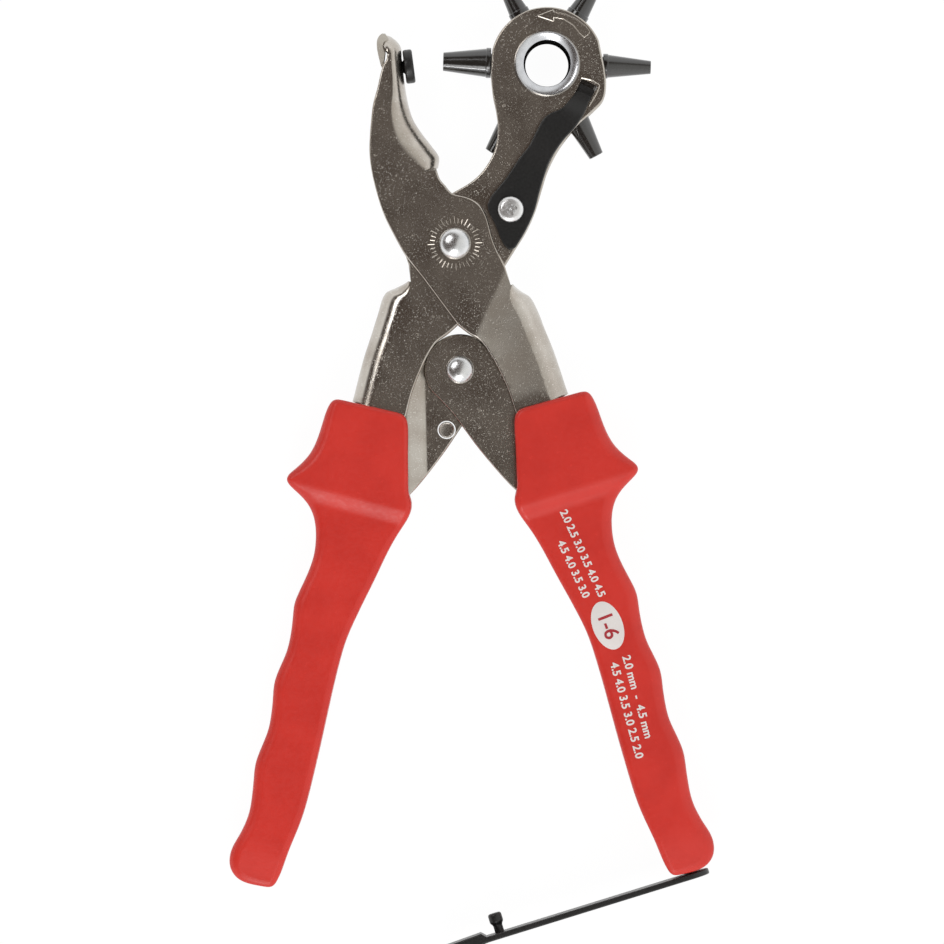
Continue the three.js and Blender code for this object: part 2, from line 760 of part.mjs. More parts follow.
// The outline runs counter-clockwise, each point with its place in the plan and the round of its edge.
function gripOutline() {
  const points = [
    ...gripCheekShares.map((share) => new THREE.Vector3(...share)), ...gripSide(gripOuterShares),
    ...gripSide(gripFingerShares), ...gripSide(gripInnerShares),
  ].reverse();
  return points.map(({ x, y, z }) => ({
    place: gripLine.at(x * gripLength, y * gripWidth),
    round: z * outerRound,
  }));
}

// A slab of the grip's outline with rounded edges, half as thick as it is in all.
function gripSlab(halfThickness) {
  const outline = gripOutline();
  const inwards = outline.map((_, i) => {
    const before = outline[(i + outline.length - 1) % outline.length].place;
    const after = outline[(i + 1) % outline.length].place;
    const along = after.clone().sub(before).normalize();
    return new THREE.Vector2(-along.y, along.x);
  });
  const ring = (side, angle) => outline.map(({ place, round }, i) => {
    const inset = round * (1 - Math.cos(angle));
    const level = halfThickness - round + round * Math.sin(angle);
    return new THREE.Vector3(place.x + inwards[i].x * inset, place.y + inwards[i].y * inset, side * level);
  });
  const quarter = [0, Math.PI / 4, Math.PI / 2];
  const lower = quarter.map((angle) => ring(-1, angle)).reverse();
  const upper = quarter.map((angle) => ring(1, angle));
  const rings = [...lower, ...upper];
  const flat = outline.map(({ place }) => place);
  return skin(rings, THREE.ShapeUtils.triangulateShape(flat, []));
}

// Extrudes [run, level] pairs, drawn upright along a working line, across the whole tool.
function upright(points, line) {
  const along = new THREE.Vector3(line.along.x, line.along.y, 0);
  const up = new THREE.Vector3(0, 0, 1);
  const across = along.clone().cross(up);
  const turn = new THREE.Matrix4().makeBasis(along, up, across).setPosition(line.from.x, line.from.y, 0);
  const shape = new THREE.Shape(points.map(([run, level]) => new THREE.Vector2(run, level)));
  const strip = new THREE.ExtrudeGeometry(shape, { depth: 2 * reach, bevelEnabled: false, steps: 1 });
  return solid(strip.translate(0, 0, -reach).applyMatrix4(turn));
}

function grip(endHole) {
  const rise = (shieldOut - gripOut) / shieldSlope;
  const above = shieldOut + gripWall;
  const slopeTop = shieldLength - gripWall / rise;
  const slopeTip = shieldLength + shieldOut / rise;
  const shieldSpace = upright([
    [-reach, -above], [slopeTop, -above], [slopeTip, 0], [slopeTop, above], [-reach, above],
  ], gripLine);
  const pocketEnd = tailEar + pocketMargin;
  const [pocketTop, pocketBottom] = pocketWallShares.map((side) => side * gripWidth - gripSideWall);
  const pocket = extrude([
    gripLine.at(-reach, -reach), gripLine.at(pocketEnd, -reach), gripLine.at(pocketEnd, pocketBottom),
    gripLine.at(0, pocketTop), gripLine.at(-reach, pocketTop),
  ], -shieldIn, shieldIn);
  const tang = extrude(grown(handleOutline(tangHalf), gap), -tangIn, tangIn);
  return cut(gripSlab(shieldOut).intersect(shieldSpace).add(gripSlab(gripOut)), [pocket, tang, endHole]);
}

// The outline moved outwards by a distance; its points run counter-clockwise.
function grown(points, distance) {
  return points.map((p, i) => {
    const before = points[(i + points.length - 1) % points.length];
    const after = points[(i + 1) % points.length];
    const along = after.clone().sub(before).normalize();
    return new THREE.Vector2(p.x + along.y * distance, p.y - along.x * distance);
  });
}

function gripEndHole(radius, depth) {
  return laid(pin(radius + gap, -depth - gap, gripWall, smallSides), gripLine.at(gripLength, 0), gripWay);
}

// Closing strap: a peg in the right grip's end, a stud for the left one's, and a tab for the finger.
function latchStrap() {
  const near = gripLength + gap;
  const far = near + strapThickness;
  const tabStart = studReach + 2 * studHead;
  const tabEnd = tabStart + tabLength;
  const band = extrude([
    gripLine.at(near, strapHeel), gripLine.at(near, -tabStart),
    gripLine.at(near - tabRise, -tabStart - tabRise), gripLine.at(near - tabRise / 2, -tabEnd),
    gripLine.at(near + tabThickness, -tabEnd), gripLine.at(far, -tabStart), gripLine.at(far, strapHeel),
  ], -strapWidth / 2, strapWidth / 2);
  const half = strapWidth / 2;
  const across = lineFrame(gripLine.from, gripLine.from.clone().add(gripLine.left));
  const round = (centre, from) => arc(new THREE.Vector2(centre, 0), half, from, from + Math.PI, bendSteps)
    .map(({ x, y }) => [x, y]);
  const heel = round(strapHeel - half, -Math.PI / 2);
  const blank = upright([...heel, ...round(half - tabEnd, Math.PI / 2)], across);
  const lap = strapThickness / 2;
  const peg = laid(pin(pegRadius, -pegLength, lap, smallSides), gripLine.at(near, 0), gripWay);
  const neck = studHeight / 2;
  const stud = laid(turned([
    [0, -studHeight], [studHead - gap, -studHeight], [studHead, gap - studHeight], [studHead, -neck],
    [studNeck, -neck], [studNeck, lap], [0, lap],
  ], smallSides), gripLine.at(near, -studReach), gripWay);
  return union([band.intersect(blank), peg, stud]);
}

// Return spring: turns round the main bush, with a leg against the web of each jaw's tail.
function returnSpring() {
  const radius = mainBushRadius + gap + springWire / 2;
  const height = innerJawIn - gap - springWire / 2;
  const inside = tailWebShares[0][1] * tailWidth - sheet - springWire / 2 - linkageSlack;
  const rightEnd = tailLine.at(springLegRun, inside - tailBend / 3);
  const leave = Math.atan2(rightEnd.y, rightEnd.x) - Math.acos(radius / rightEnd.length());
  const start = Math.PI - leave;
  const sweep = leave - start + 2 * Math.PI * (springTurns + 1);
  const steps = Math.round((sweep / (2 * Math.PI)) * turnSteps);
  const coil = Array.from({ length: steps + 1 }, (_, i) => {
    const angle = start + (sweep * i) / steps;
    return new THREE.Vector3(
      radius * Math.cos(angle), radius * Math.sin(angle), height * ((2 * i) / steps - 1));
  });
  let leastGap = Infinity;
  for (let i = 0; i < coil.length; i++) {
    for (let k = i + turnSteps / 2; k < coil.length; k++) {
      leastGap = Math.min(leastGap, coil[i].distanceTo(coil[k]) - springWire);
    }
  }
  console.log(`return spring: least gap between turns ${leastGap.toFixed(2)} mm`);
  const path = new THREE.CatmullRomCurve3([
    new THREE.Vector3(-rightEnd.x, rightEnd.y, -height),
    ...coil,
    new THREE.Vector3(rightEnd.x, rightEnd.y, height),
  ], false, 'centripetal');
  const section = new THREE.Shape(arc(mainPivot, springWire / 2, 0, 2 * Math.PI, 6).slice(1));
  return solid(new THREE.ExtrudeGeometry(section, {
    steps: springSteps, extrudePath: path, bevelEnabled: false,
  }));
}

// Materials

function finish(color, roughness, metalness) {
  return new THREE.MeshStandardMaterial({ color, roughness, metalness });
}

const nickel = finish(0x857d74, 0.35, 0.9);
const zinc = finish(0xb9bcbf, 0.3, 0.9);
const blackSteel = finish(0x1c1a19, 0.35, 0.6);
const blackPlastic = finish(0x151515, 0.45, 0);
const redPlastic = finish(0xcc342c, 0.5, 0);
const springSteel = finish(0x55524e, 0.4, 0.8);

function part(name, body, material) {
  const mesh = new THREE.Mesh(geometryOf(body), material);
  mesh.name = name;
  return mesh;
}

function spacer() {
  return at(pin(spacerPinRadius, -innerEarOut, innerEarOut, smallSides), spacerPin);
}

function link(name, centre) {
  return part(name, at(pin(linkPinRadius, -innerJawOut, innerJawOut, smallSides), centre), zinc);
}

// A handle's pieces, turned together about the link pin that they hang on.
function swung(centre, angle, pieces) {
  const group = new THREE.Group();
  group.position.set(centre.x, centre.y, 0);
  group.rotation.z = angle;
  for (const piece of pieces) {
    piece.position.set(-centre.x, -centre.y, 0);
    group.add(piece);
  }
  return group;
}

// The turret is built round its own axle, with the tubes turned into their places.
function turret() {
  const group = new THREE.Group();
  group.add(part('turret_axle', turretAxle(), zinc), part('turret_wheel', turretWheel(), blackSteel));
  punchHoles.forEach((hole, i) => {
    const tube = part(`punch_tube_${Math.round(hole * 10)}`, punchTube(hole), blackSteel);
    tube.rotation.y = Math.PI / 2;
    const spoke = new THREE.Group();
    spoke.rotation.z = turnPlace(i);
    spoke.add(tube);
    group.add(spoke);
  });
  group.position.set(turretCentre.x, turretCentre.y, 0);
  return group;
}

const pliers = new THREE.Group();
pliers.add(
  part('anvil_lever', anvilLever(), nickel),
  part('anvil_pad', anvilPad(), blackPlastic),
  part('main_pivot_rivet', mainPivotRivet(), zinc),
  part('main_pivot_bush', mainPivotBush(), zinc),
  part('return_spring', returnSpring(), springSteel),
  link('right_link_pin', rightLink),
  part('turret_lever', turretLever(), nickel),
  turret(),
  part('index_arm', indexArm(), blackPlastic),
  part('index_screw', indexScrew(), zinc),
  part('index_nut', indexNut(), zinc),
  link('left_link_pin', leftLink),
  swung(rightLink, handleSkew, [
    part('right_handle_lever', rightHandleLever(), nickel),
    part('right_grip', grip(gripEndHole(pegRadius, pegLength)), redPlastic),
    part('handle_pivot_rivet', handlePivotRivet(), zinc),
    part('latch_strap', latchStrap(), blackPlastic),
  ]),
  swung(leftLink, handleSkew, [
    part('left_handle_lever', leftHandleLever(), nickel),
    part('left_grip', mirrored(grip(gripEndHole(studHead, studHeight))), redPlastic),
    part('spacer_pin', spacer(), zinc),
  ]),
);
pliers.position.z = shieldOut;

export default pliers;
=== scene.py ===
import math
import bmesh
import bpy
from mathutils import Matrix, Vector


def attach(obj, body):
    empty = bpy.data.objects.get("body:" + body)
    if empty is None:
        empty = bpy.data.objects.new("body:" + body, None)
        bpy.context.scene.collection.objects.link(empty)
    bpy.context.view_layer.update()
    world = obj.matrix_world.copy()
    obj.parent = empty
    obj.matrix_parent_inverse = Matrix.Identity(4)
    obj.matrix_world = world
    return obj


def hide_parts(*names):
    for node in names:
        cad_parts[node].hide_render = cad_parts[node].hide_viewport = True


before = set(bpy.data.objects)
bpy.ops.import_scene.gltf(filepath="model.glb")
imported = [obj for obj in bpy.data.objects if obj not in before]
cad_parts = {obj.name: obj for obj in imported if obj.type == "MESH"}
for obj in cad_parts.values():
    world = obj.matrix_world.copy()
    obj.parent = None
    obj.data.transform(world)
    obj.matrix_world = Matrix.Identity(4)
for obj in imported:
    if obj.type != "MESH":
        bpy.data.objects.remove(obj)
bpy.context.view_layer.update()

# All sizes are in millimetres and repeat the solids'; meshes are scaled to metres when they are made.
MM = 0.001
MID = 9.4
GAP = 0.3
SHEET = 1.5

# Linkage, jaws open
MAIN = Vector((0, 0))
HANDLE_PIVOT = Vector((0, -35))
RIGHT_LINK = Vector((25, -50))
LEFT_LINK = Vector((-25, -50))
CLOSE_ANGLE = math.radians(9)
GRIP_TILT = math.radians(15.8)
HANDLE_SKEW = math.radians(-0.6)

# Levels from the middle plane
INNER_JAW = 6.1
OUTER_JAW = 7.9
OUTER_EAR = 4.3
INNER_EAR = 2.5
SHIELD_IN = 6.4
SHIELD_OUT = 9.4
TANG_IN = 4.6
GRIP_OUT = 7.6
ARM_BOTTOM = 6.4
ARM_TOP = 9.0
CAMERA_HEIGHT = 2175

# Turret
TURRET_REACH = 55.8
TURRET_LEAN = math.radians(29.1)
OPEN_TUBE_ANGLE = math.radians(176.4)
HEAD_RADIUS = 15.6
WHEEL_RADIUS = 15.2
WHEEL_FACE = 4.3
AXLE_BORE = 6.5
AXLE_WALL = 1
AXLE_RIM = 1.6
AXLE_RIM_HEIGHT = 1.3
PUNCH_HOLES = [4.5, 4, 3.5, 3, 2.5, 2]
PUNCH_REACH = 28.7
ROOT_RADIUS = 2.6
NOSE_ORBIT = 13.2
NOSE_ANGLE = math.radians(-39.6)

# Plan sizes
JAW_WIDTH = 18
TAIL_WIDTH = 10
TAIL_BEND = 5.6
CROSS_RADIUS = 14
GRIP_LENGTH = 130.2
GRIP_WIDTH = 8
OUTER_ROUND = 3.2
MAIN_HOLE = 3.3
LINK_HOLE = 2.8
SPACER_HOLE = 2.5
SPACER_CENTRE = Vector((-4.1, -51))
ARM_HOLE = 2.2
PEG_RADIUS = 1.9
PEG_LENGTH = 6
STUD_LENGTH = 5.5

# How far cutters reach, and lengths that count as none
BORE_REACH = 20
TINY = 1e-4
ALMOST_ZERO = 1e-6

# How much of a side a rounded corner may take, and how often a rounded outline is uncrossed
CORNER_SHARE = 0.45
UNCROSS_PASSES = 60


# Plan helpers

class Line:
    """A working line in the plan: at(run, side) is a point run along it and side to its left."""

    def __init__(self, start, end):
        self.start = Vector(start)
        self.along = (Vector(end) - self.start).normalized()
        self.left = Vector((-self.along.y, self.along.x))
        self.angle = math.atan2(self.along.y, self.along.x)
        self.length = (Vector(end) - self.start).length

    def at(self, run, side):
        return self.start + self.along * run + self.left * side


def heading(angle):
    return Vector((math.cos(angle), math.sin(angle)))


def turned_about(point, angle):
    return Vector((
        point.x * math.cos(angle) - point.y * math.sin(angle),
        point.x * math.sin(angle) + point.y * math.cos(angle),
    ))


def arc(centre, radius, start, end, steps):
    return [centre + heading(start + (end - start) * i / steps) * radius for i in range(steps + 1)]


def spline(points, steps):
    """A centripetal curve through points of two to four numbers, spaced by the first two."""
    rows = [Vector(p) for p in points]
    rows = [2 * rows[0] - rows[1], *rows, 2 * rows[-1] - rows[-2]]
    made = []
    for i in range(1, len(rows) - 2):
        a, b, c, d = rows[i - 1:i + 3]
        gaps = ((q.xy - p.xy).length for p, q in ((a, b), (b, c), (c, d)))
        before, span, after = (max(gap, ALMOST_ZERO) ** 0.5 for gap in gaps)
        leave = c - b + span * ((b - a) / before - (c - a) / (before + span))
        arrive = c - b + span * ((d - c) / after - (d - b) / (span + after))
        for k in range(steps):
            t = k / steps
            made.append((2 * (b - c) + leave + arrive) * t ** 3 + (3 * (c - b) - 2 * leave - arrive) * t ** 2
                        + leave * t + b)
    made.append(rows[-2])
    return made


def mirror_points(points):
    return [Vector((-p.x, p.y)) for p in reversed(points)]


def clamped(value):
    return min(max(value, 0), 1)


def smooth_step(value):
    value = clamped(value)
    return value * value * (3 - 2 * value)


def eased(value, ease):
    """A straight rise from 0 to 1 over values from 0 to 1, rounded over a short way at both ends."""
    if value < ease:
        return max(value + ease, 0) ** 2 / (4 * ease)
    if value > 1 - ease:
        return 1 - max(1 + ease - value, 0) ** 2 / (4 * ease)
    return value


def evened(rows, spacing, passes):
    """Spaces the points of a closed outline evenly and relaxes its corners."""
    ways = [0]
    for i, row in enumerate(rows):
        ways.append(ways[-1] + (rows[(i + 1) % len(rows)].xy - row.xy).length)
    count = round(ways[-1] / spacing)
    made = []
    k = 0
    for i in range(count):
        way = ways[-1] * i / count
        while ways[k + 1] < way:
            k += 1
        made.append(rows[k].lerp(rows[(k + 1) % len(rows)], (way - ways[k]) / (ways[k + 1] - ways[k])))
    for _ in range(passes):
        made = [(made[i - 1] + row * 2 + made[(i + 1) % count]) / 4 for i, row in enumerate(made)]
    return made


def soften(points, radius, steps=4, closed=False):
    """Rounds the corners of a path; a corner takes at most a set share of its shorter side."""
    rows = [Vector(p) for p in points]
    made = []
    for i, row in enumerate(rows):
        if not closed and i in (0, len(rows) - 1):
            made.append(row)
            continue
        before = rows[i - 1]
        after = rows[(i + 1) % len(rows)]
        reach = min(radius, CORNER_SHARE * (before - row).length, CORNER_SHARE * (after - row).length)
        a = row + (before - row).normalized() * reach
        b = row + (after - row).normalized() * reach
        for k in range(steps + 1):
            t = k / steps
            made.append(a * (1 - t) ** 2 + row * 2 * t * (1 - t) + b * t * t)
    return made


def rectangle(line, half_run, half_side, radius, steps):
    corners = ((-1, -1), (1, -1), (1, 1), (-1, 1))
    return soften([line.at(x * half_run, y * half_side) for x, y in corners], radius, steps, True)


def quarter(steps):
    return [math.pi / 2 * k / steps for k in range(steps + 1)]


# Mesh helpers

def outwards(bm):
    bmesh.ops.recalc_face_normals(bm, faces=bm.faces)
    return bm


def strip(bm, first, second, closed):
    """Quads between two rows of vertices."""
    count = len(first)
    for i in range(count if closed else count - 1):
        j = (i + 1) % count
        corners = []
        for v in (first[i], first[j], second[j], second[i]):
            if v not in corners:
                corners.append(v)
        if len(corners) > 2:
            bm.faces.new(corners)


def loft(bm, rings):
    """Joins rings of vertices in a row and closes both ends."""
    for first, second in zip(rings, rings[1:]):
        strip(bm, first, second, True)
    bm.faces.new(rings[0])
    bm.faces.new(rings[-1])
    return bm


def lathe(profile, segments=96):
    """A body turned about Z from (radius, height) points; a profile off the axis closes on itself."""
    bm = bmesh.new()
    rows = []
    for radius, height in profile:
        if radius < ALMOST_ZERO:
            rows.append([bm.verts.new((0, 0, height))] * segments)
        else:
            rows.append([
                bm.verts.new((radius * math.cos(a), radius * math.sin(a), height))
                for a in (2 * math.pi * i / segments for i in range(segments))
            ])
    open_ended = profile[0][0] > ALMOST_ZERO and profile[-1][0] > ALMOST_ZERO
    for first, second in zip(rows, rows[1:] + (rows[:1] if open_ended else [])):
        strip(bm, first, second, True)
    return outwards(bm)


def pin(radius, low, high, segments=48):
    return lathe([(0, low), (radius, low), (radius, high), (0, high)], segments)


def prism(points, low, high):
    bm = bmesh.new()
    bottom = [bm.verts.new((p.x, p.y, low)) for p in points]
    top = [bm.verts.new((p.x, p.y, high)) for p in points]
    return outwards(loft(bm, [bottom, top]))


def tube(path, radius, sides):
    """A tube along a path, its section carried without twist."""
    bm = bmesh.new()
    points = [Vector(p) for p in path]
    count = len(points)
    rows = []
    across = None
    for i, point in enumerate(points):
        before = points[i - 1] if i else point
        after = points[i + 1] if i + 1 < count else point
        along = (after - before).normalized()
        if across is None:
            across = along.orthogonal().normalized()
        across = (across - along * across.dot(along)).normalized()
        other = along.cross(across)
        rows.append([
            bm.verts.new(point + (across * math.cos(a) + other * math.sin(a)) * radius)
            for a in (2 * math.pi * k / sides for k in range(sides))
        ])
    return outwards(loft(bm, rows))


def slab(outline, low, high, rounds, steps=5):
    """A slab of a counter-clockwise outline with rounded edges; rounds is one radius or one a point."""
    bm = bmesh.new()
    count = len(outline)
    if not isinstance(rounds, list):
        rounds = [rounds] * count
    inwards = []
    for i in range(count):
        along = (outline[(i + 1) % count] - outline[i - 1]).normalized()
        inwards.append(Vector((-along.y, along.x)))
    angles = quarter(steps)

    def ring(side, angle):
        spots = [p + way * r * (1 - math.cos(angle)) for p, way, r in zip(outline, inwards, rounds)]
        for _ in range(UNCROSS_PASSES):
            for i in range(count):
                j = (i + 1) % count
                if (spots[j] - spots[i]).dot(outline[j] - outline[i]) < 0:
                    spots[i] = spots[j] = (spots[i] + spots[j]) / 2
        made = []
        for spot, radius in zip(spots, rounds):
            depth = radius * (1 - math.sin(angle))
            made.append(bm.verts.new((spot.x, spot.y, high - depth if side > 0 else low + depth)))
        return made

    loft(bm, [ring(-1, a) for a in reversed(angles)] + [ring(1, a) for a in angles])
    bmesh.ops.remove_doubles(bm, verts=bm.verts, dist=TINY)
    return outwards(bm)


def slice_at(bm, places, direction):
    """Cuts a mesh across at distances along a direction, so that it can bend there."""
    for place in places:
        everything = [*bm.verts, *bm.edges, *bm.faces]
        bmesh.ops.bisect_plane(bm, geom=everything, dist=1e-5, plane_co=direction * place, plane_no=direction)


def relevel(bm, height):
    """Moves every point along Z alone; height(co) is where to."""
    for v in bm.verts:
        v.co.z = height(v.co)
    return bm


def standing(direction, point):
    """Lays a body's Z axis in the plan, pointing along a direction from a point."""
    along = Vector((direction.x, direction.y, 0)).normalized()
    up = Vector((0, 0, 1))
    across = up.cross(along)
    turn = Matrix((across, up, along)).transposed().to_4x4()
    return Matrix.Translation((point.x, point.y, 0)) @ turn


def moved(bm, matrix):
    bmesh.ops.transform(bm, matrix=matrix, verts=bm.verts)
    if matrix.determinant() < 0:
        bmesh.ops.reverse_faces(bm, faces=bm.faces)
    return bm


def shifted(bm, point, height=0.0):
    return moved(bm, Matrix.Translation((point.x, point.y, height)))


def bore(radius, place=MAIN, segments=48):
    """A cutter for a hole straight through the tool."""
    return shifted(pin(radius, -BORE_REACH, BORE_REACH, segments), place)


def hung(bm, link):
    """Leans a handle's piece about the link pin that it hangs on."""
    centre = Vector((link.x, link.y, 0))
    turn = Matrix.Rotation(HANDLE_SKEW, 4, "Z")
    return moved(bm, Matrix.Translation(centre) @ turn @ Matrix.Translation(-centre))


MIRROR = Matrix.Scale(-1, 4, (1, 0, 0))


def loose_object(bm, name):
    mesh = bpy.data.meshes.new(name)
    bm.to_mesh(mesh)
    bm.free()
    made = bpy.data.objects.new(name, mesh)
    bpy.context.scene.collection.objects.link(made)
    return made


def combined(bm, other, operation):
    """The exact union or difference of two bodies, as a new body."""
    base = loose_object(bm, "base")
    tool = loose_object(other, "tool")
    modifier = base.modifiers.new("cut", "BOOLEAN")
    modifier.operation = operation
    modifier.solver = "EXACT"
    modifier.object = tool
    graph = bpy.context.evaluated_depsgraph_get()
    result = bmesh.new()
    result.from_object(base, graph)
    for spent in (base, tool):
        mesh = spent.data
        bpy.data.objects.remove(spent)
        bpy.data.meshes.remove(mesh)
    bmesh.ops.dissolve_degenerate(result, dist=TINY, edges=result.edges)
    return result


def less(bm, *tools):
    for tool in tools:
        bm = combined(bm, tool, "DIFFERENCE")
    return bm


def plus(bm, *others):
    for other in others:
        bm = combined(bm, other, "UNION")
    return bm


def joined(bodies):
    """Bodies that don't touch, as one."""
    made = bmesh.new()
    for body in bodies:
        mesh = bpy.data.meshes.new("part")
        body.to_mesh(mesh)
        body.free()
        made.from_mesh(mesh)
        bpy.data.meshes.remove(mesh)
    return made


def piece(name, bm, body, finish, replaces=(), sharp=32, weighted=True):
    """Makes a body a piece of the object, in metres, lifted to the middle plane."""
    moved(bm, Matrix.Scale(MM, 4) @ Matrix.Translation((0, 0, MID)))
    made = loose_object(bm, name)
    made.data.materials.append(finish)
    made.data.shade_smooth()
    made.data.set_sharp_from_angle(angle=math.radians(sharp))
    if weighted:
        normals = made.modifiers.new("normals", "WEIGHTED_NORMAL")
        normals.keep_sharp = True
        normals.weight = 80
    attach(made, body)
    if replaces:
        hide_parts(*replaces)


# Pressed sheet

RIM_OUT = 0.5
RIM_IN = 0.25
WEB_STEPS = 22


def rim_profile(level):
    outer = [(RIM_OUT * (math.sin(a) - 1), level - RIM_OUT * (1 - math.cos(a))) for a in quarter(4)]
    inner = [(RIM_IN * (math.cos(a) - 1), level - SHEET + RIM_IN * (1 - math.sin(a))) for a in quarter(3)]
    return outer + inner


def sheet_lever(stations, level):
    """A front and a back plate joined by a round web. A station is a point of the outline, the way out, and
    the web's depth there, or None where the plates end in free edges."""
    bm = bmesh.new()
    profile = rim_profile(level)
    inside = level - SHEET
    sweep = [math.pi / 2 - math.pi * k / WEB_STEPS for k in range(WEB_STEPS + 1)]
    rows = []
    count = len(stations)
    for i, (place, out, depth) in enumerate(stations):
        def vertex(x, z):
            return bm.verts.new((place.x + out.x * x, place.y + out.y * x, z))

        before = stations[i - 1][2]
        after = stations[(i + 1) % count][2]
        ends = depth is not None and (before is None or after is None)
        row = {"end": ends}
        if depth is None:
            row["front"] = [vertex(x, z) for x, z in profile]
            row["back"] = [vertex(x, -z) for x, z in profile]
        else:
            start = RIM_OUT if ends else 0
            wall = depth - SHEET
            outer = [vertex((depth + start) * math.cos(a) - start, level * math.sin(a)) for a in sweep]
            inner = [vertex((wall + start) * math.cos(a) - start, inside * math.sin(a)) for a in sweep]
            row["outer"] = outer
            row["inner"] = inner
            for side, face, back in (("front", outer[0], inner[0]), ("back", outer[-1], inner[-1])):
                between = []
                if ends:
                    for k in range(1, len(profile) - 1):
                        between.append(bm.verts.new(face.co.lerp(back.co, k / (len(profile) - 1))))
                row[side] = [face, *between, back]
        rows.append(row)
    for i in range(count):
        first, second = rows[i], rows[(i + 1) % count]
        sides = ("outer", "inner") if "outer" in first and "outer" in second else ("front", "back")
        for side in sides:
            strip(bm, first[side], second[side], False)
    for row in rows:
        if row["end"]:
            front, back = row["front"][1:-1], row["back"][1:-1]
            bm.faces.new([*row["outer"], *back, *reversed(row["inner"]), *reversed(front)])
    for side in ("front", "back"):
        for k in (0, -1):
            bm.faces.new([row[side][k] for row in rows])
    return outwards(bm)


SAME_PLACE = 0.12


def outline_stations(parts):
    """Joins open paths and web rows into stations. A part is a list of points, or of (point, out, depth)."""
    kept = []
    for part in parts:
        for row in part:
            place, out, depth = row if isinstance(row, tuple) else (Vector(row), None, None)
            if kept and (kept[-1][0] - place).length < SAME_PLACE:
                if depth is None:
                    continue
                if kept[-1][2] is None:
                    kept.pop()
            kept.append((place, out, depth))
    if (kept[0][0] - kept[-1][0]).length < SAME_PLACE:
        kept.pop(0 if kept[0][2] is None else -1)
    made = []
    for i, (place, out, depth) in enumerate(kept):
        if out is None:
            along = (kept[(i + 1) % len(kept)][0] - kept[i - 1][0]).normalized()
            out = Vector((along.y, -along.x))
        made.append((place, out, depth))
    return made


BEND_EASE = 0.7


def stepped(bm, high, level):
    """Moves both plates from one level to level(x, y), and the web between them in proportion."""
    inner = high - SHEET

    def height(co):
        drop = high - level(co.x, co.y)
        if abs(co.z) >= inner - TINY:
            return math.copysign(abs(co.z) - drop, co.z)
        return co.z * (inner - drop) / inner

    return relevel(bm, height)


def bend_places(start, run):
    """Where to cut a mesh across for a step that starts and ends in a short round bend."""
    ease = [start + BEND_EASE * k / 2 for k in range(-2, 3)]
    return ease + [place + run for place in ease]


RIDGE_SINK = 0.05


def ridges(paths, level, radius):
    """Thin round ridges that stand out of a plate by about half their thickness."""
    return joined([tube([(p.x, p.y, level - RIDGE_SINK) for p in path], radius, 8) for path in paths])


# Materials

def add(tree, kind, settings=None, **inputs):
    """Adds a node; an input is given by its name, or as n0, n1 and so on by its place."""
    node = tree.nodes.new("ShaderNode" + kind)
    for key, value in (settings or {}).items():
        setattr(node, key, value)
    for key, value in inputs.items():
        numbered = key[0] == "n" and key[1:].isdigit()
        socket = node.inputs[int(key[1:])] if numbered else node.inputs[key.replace("_", " ")]
        if isinstance(value, bpy.types.NodeSocket):
            tree.links.new(value, socket)
        else:
            socket.default_value = value
    return node


def maths(tree, operation, *values):
    inputs = {f"n{k}": value for k, value in enumerate(values)}
    return add(tree, "Math", {"operation": operation}, **inputs).outputs[0]


def colour(red, green, blue):
    return (red, green, blue, 1)


def new_material(name):
    made = bpy.data.materials.new(name)
    made.use_nodes = True
    tree = made.node_tree
    shader = tree.nodes["Principled BSDF"]
    place = add(tree, "TexCoord").outputs["Object"]
    return made, tree, shader, place


def noise_of(tree, place, scale, detail=3, roughness=0.55):
    """Noise with so many features to the metre."""
    return add(tree, "TexNoise", Vector=place, Scale=scale, Detail=detail, Roughness=roughness).outputs[0]


def window(tree, value, low, high, start=0.0, end=1.0):
    """Eases from start to end while a value goes from low to high."""
    settings = {"interpolation_type": "SMOOTHSTEP"}
    return add(tree, "MapRange", settings, n0=value, n1=low, n2=high, n3=start, n4=end).outputs[0]


def blend_colours(tree, factor, first, second):
    return add(tree, "Mix", {"data_type": "RGBA"}, n0=factor, n6=first, n7=second).outputs[2]


def dress(tree, shader, tone, rough, height, strength, depth):
    """Gives a shader its colour, its roughness and a bump of so many metres."""
    relief = add(tree, "Bump", Strength=strength, Distance=depth, Height=height).outputs[0]
    for output, socket in ((tone, "Base Color"), (rough, "Roughness"), (relief, "Normal")):
        tree.links.new(output, shader.inputs[socket])


def plate_metal(name, base, pale, dark, roughness):
    """Plated pressed sheet: cloudy tone, paler specks painted at a fine grain's peaks as glints, and in
    patches a bumped fine grain and a few larger bumped glints.
    """
    made, tree, shader, place = new_material(name)
    cloud = noise_of(tree, place, 90, 4)
    grain = noise_of(tree, place, 2500, 2, 0.6)
    pits = noise_of(tree, place, 620, 3, 0.6)
    tone = blend_colours(tree, window(tree, cloud, 0.3, 0.7), colour(*dark), colour(*base))
    # Paler specks at the grain's peaks: painted glints, not a colour of the plating
    tone = blend_colours(tree, window(tree, grain, 0.6, 0.72, 0, 0.5), tone, colour(*pale))
    rough = window(tree, cloud, 0.35, 0.7, roughness + 0.05, roughness - 0.03)
    fine = window(tree, grain, 0.58, 0.76, 0, 0.65)
    large = window(tree, pits, 0.67, 0.73)
    patch = window(tree, noise_of(tree, place, 70), 0.4, 0.56, 0.55, 1.12)
    glints = maths(tree, "MULTIPLY", maths(tree, "ADD", fine, large), patch)
    shader.inputs["Metallic"].default_value = 1
    dress(tree, shader, tone, rough, glints, 0.6, 0.00004)
    return made


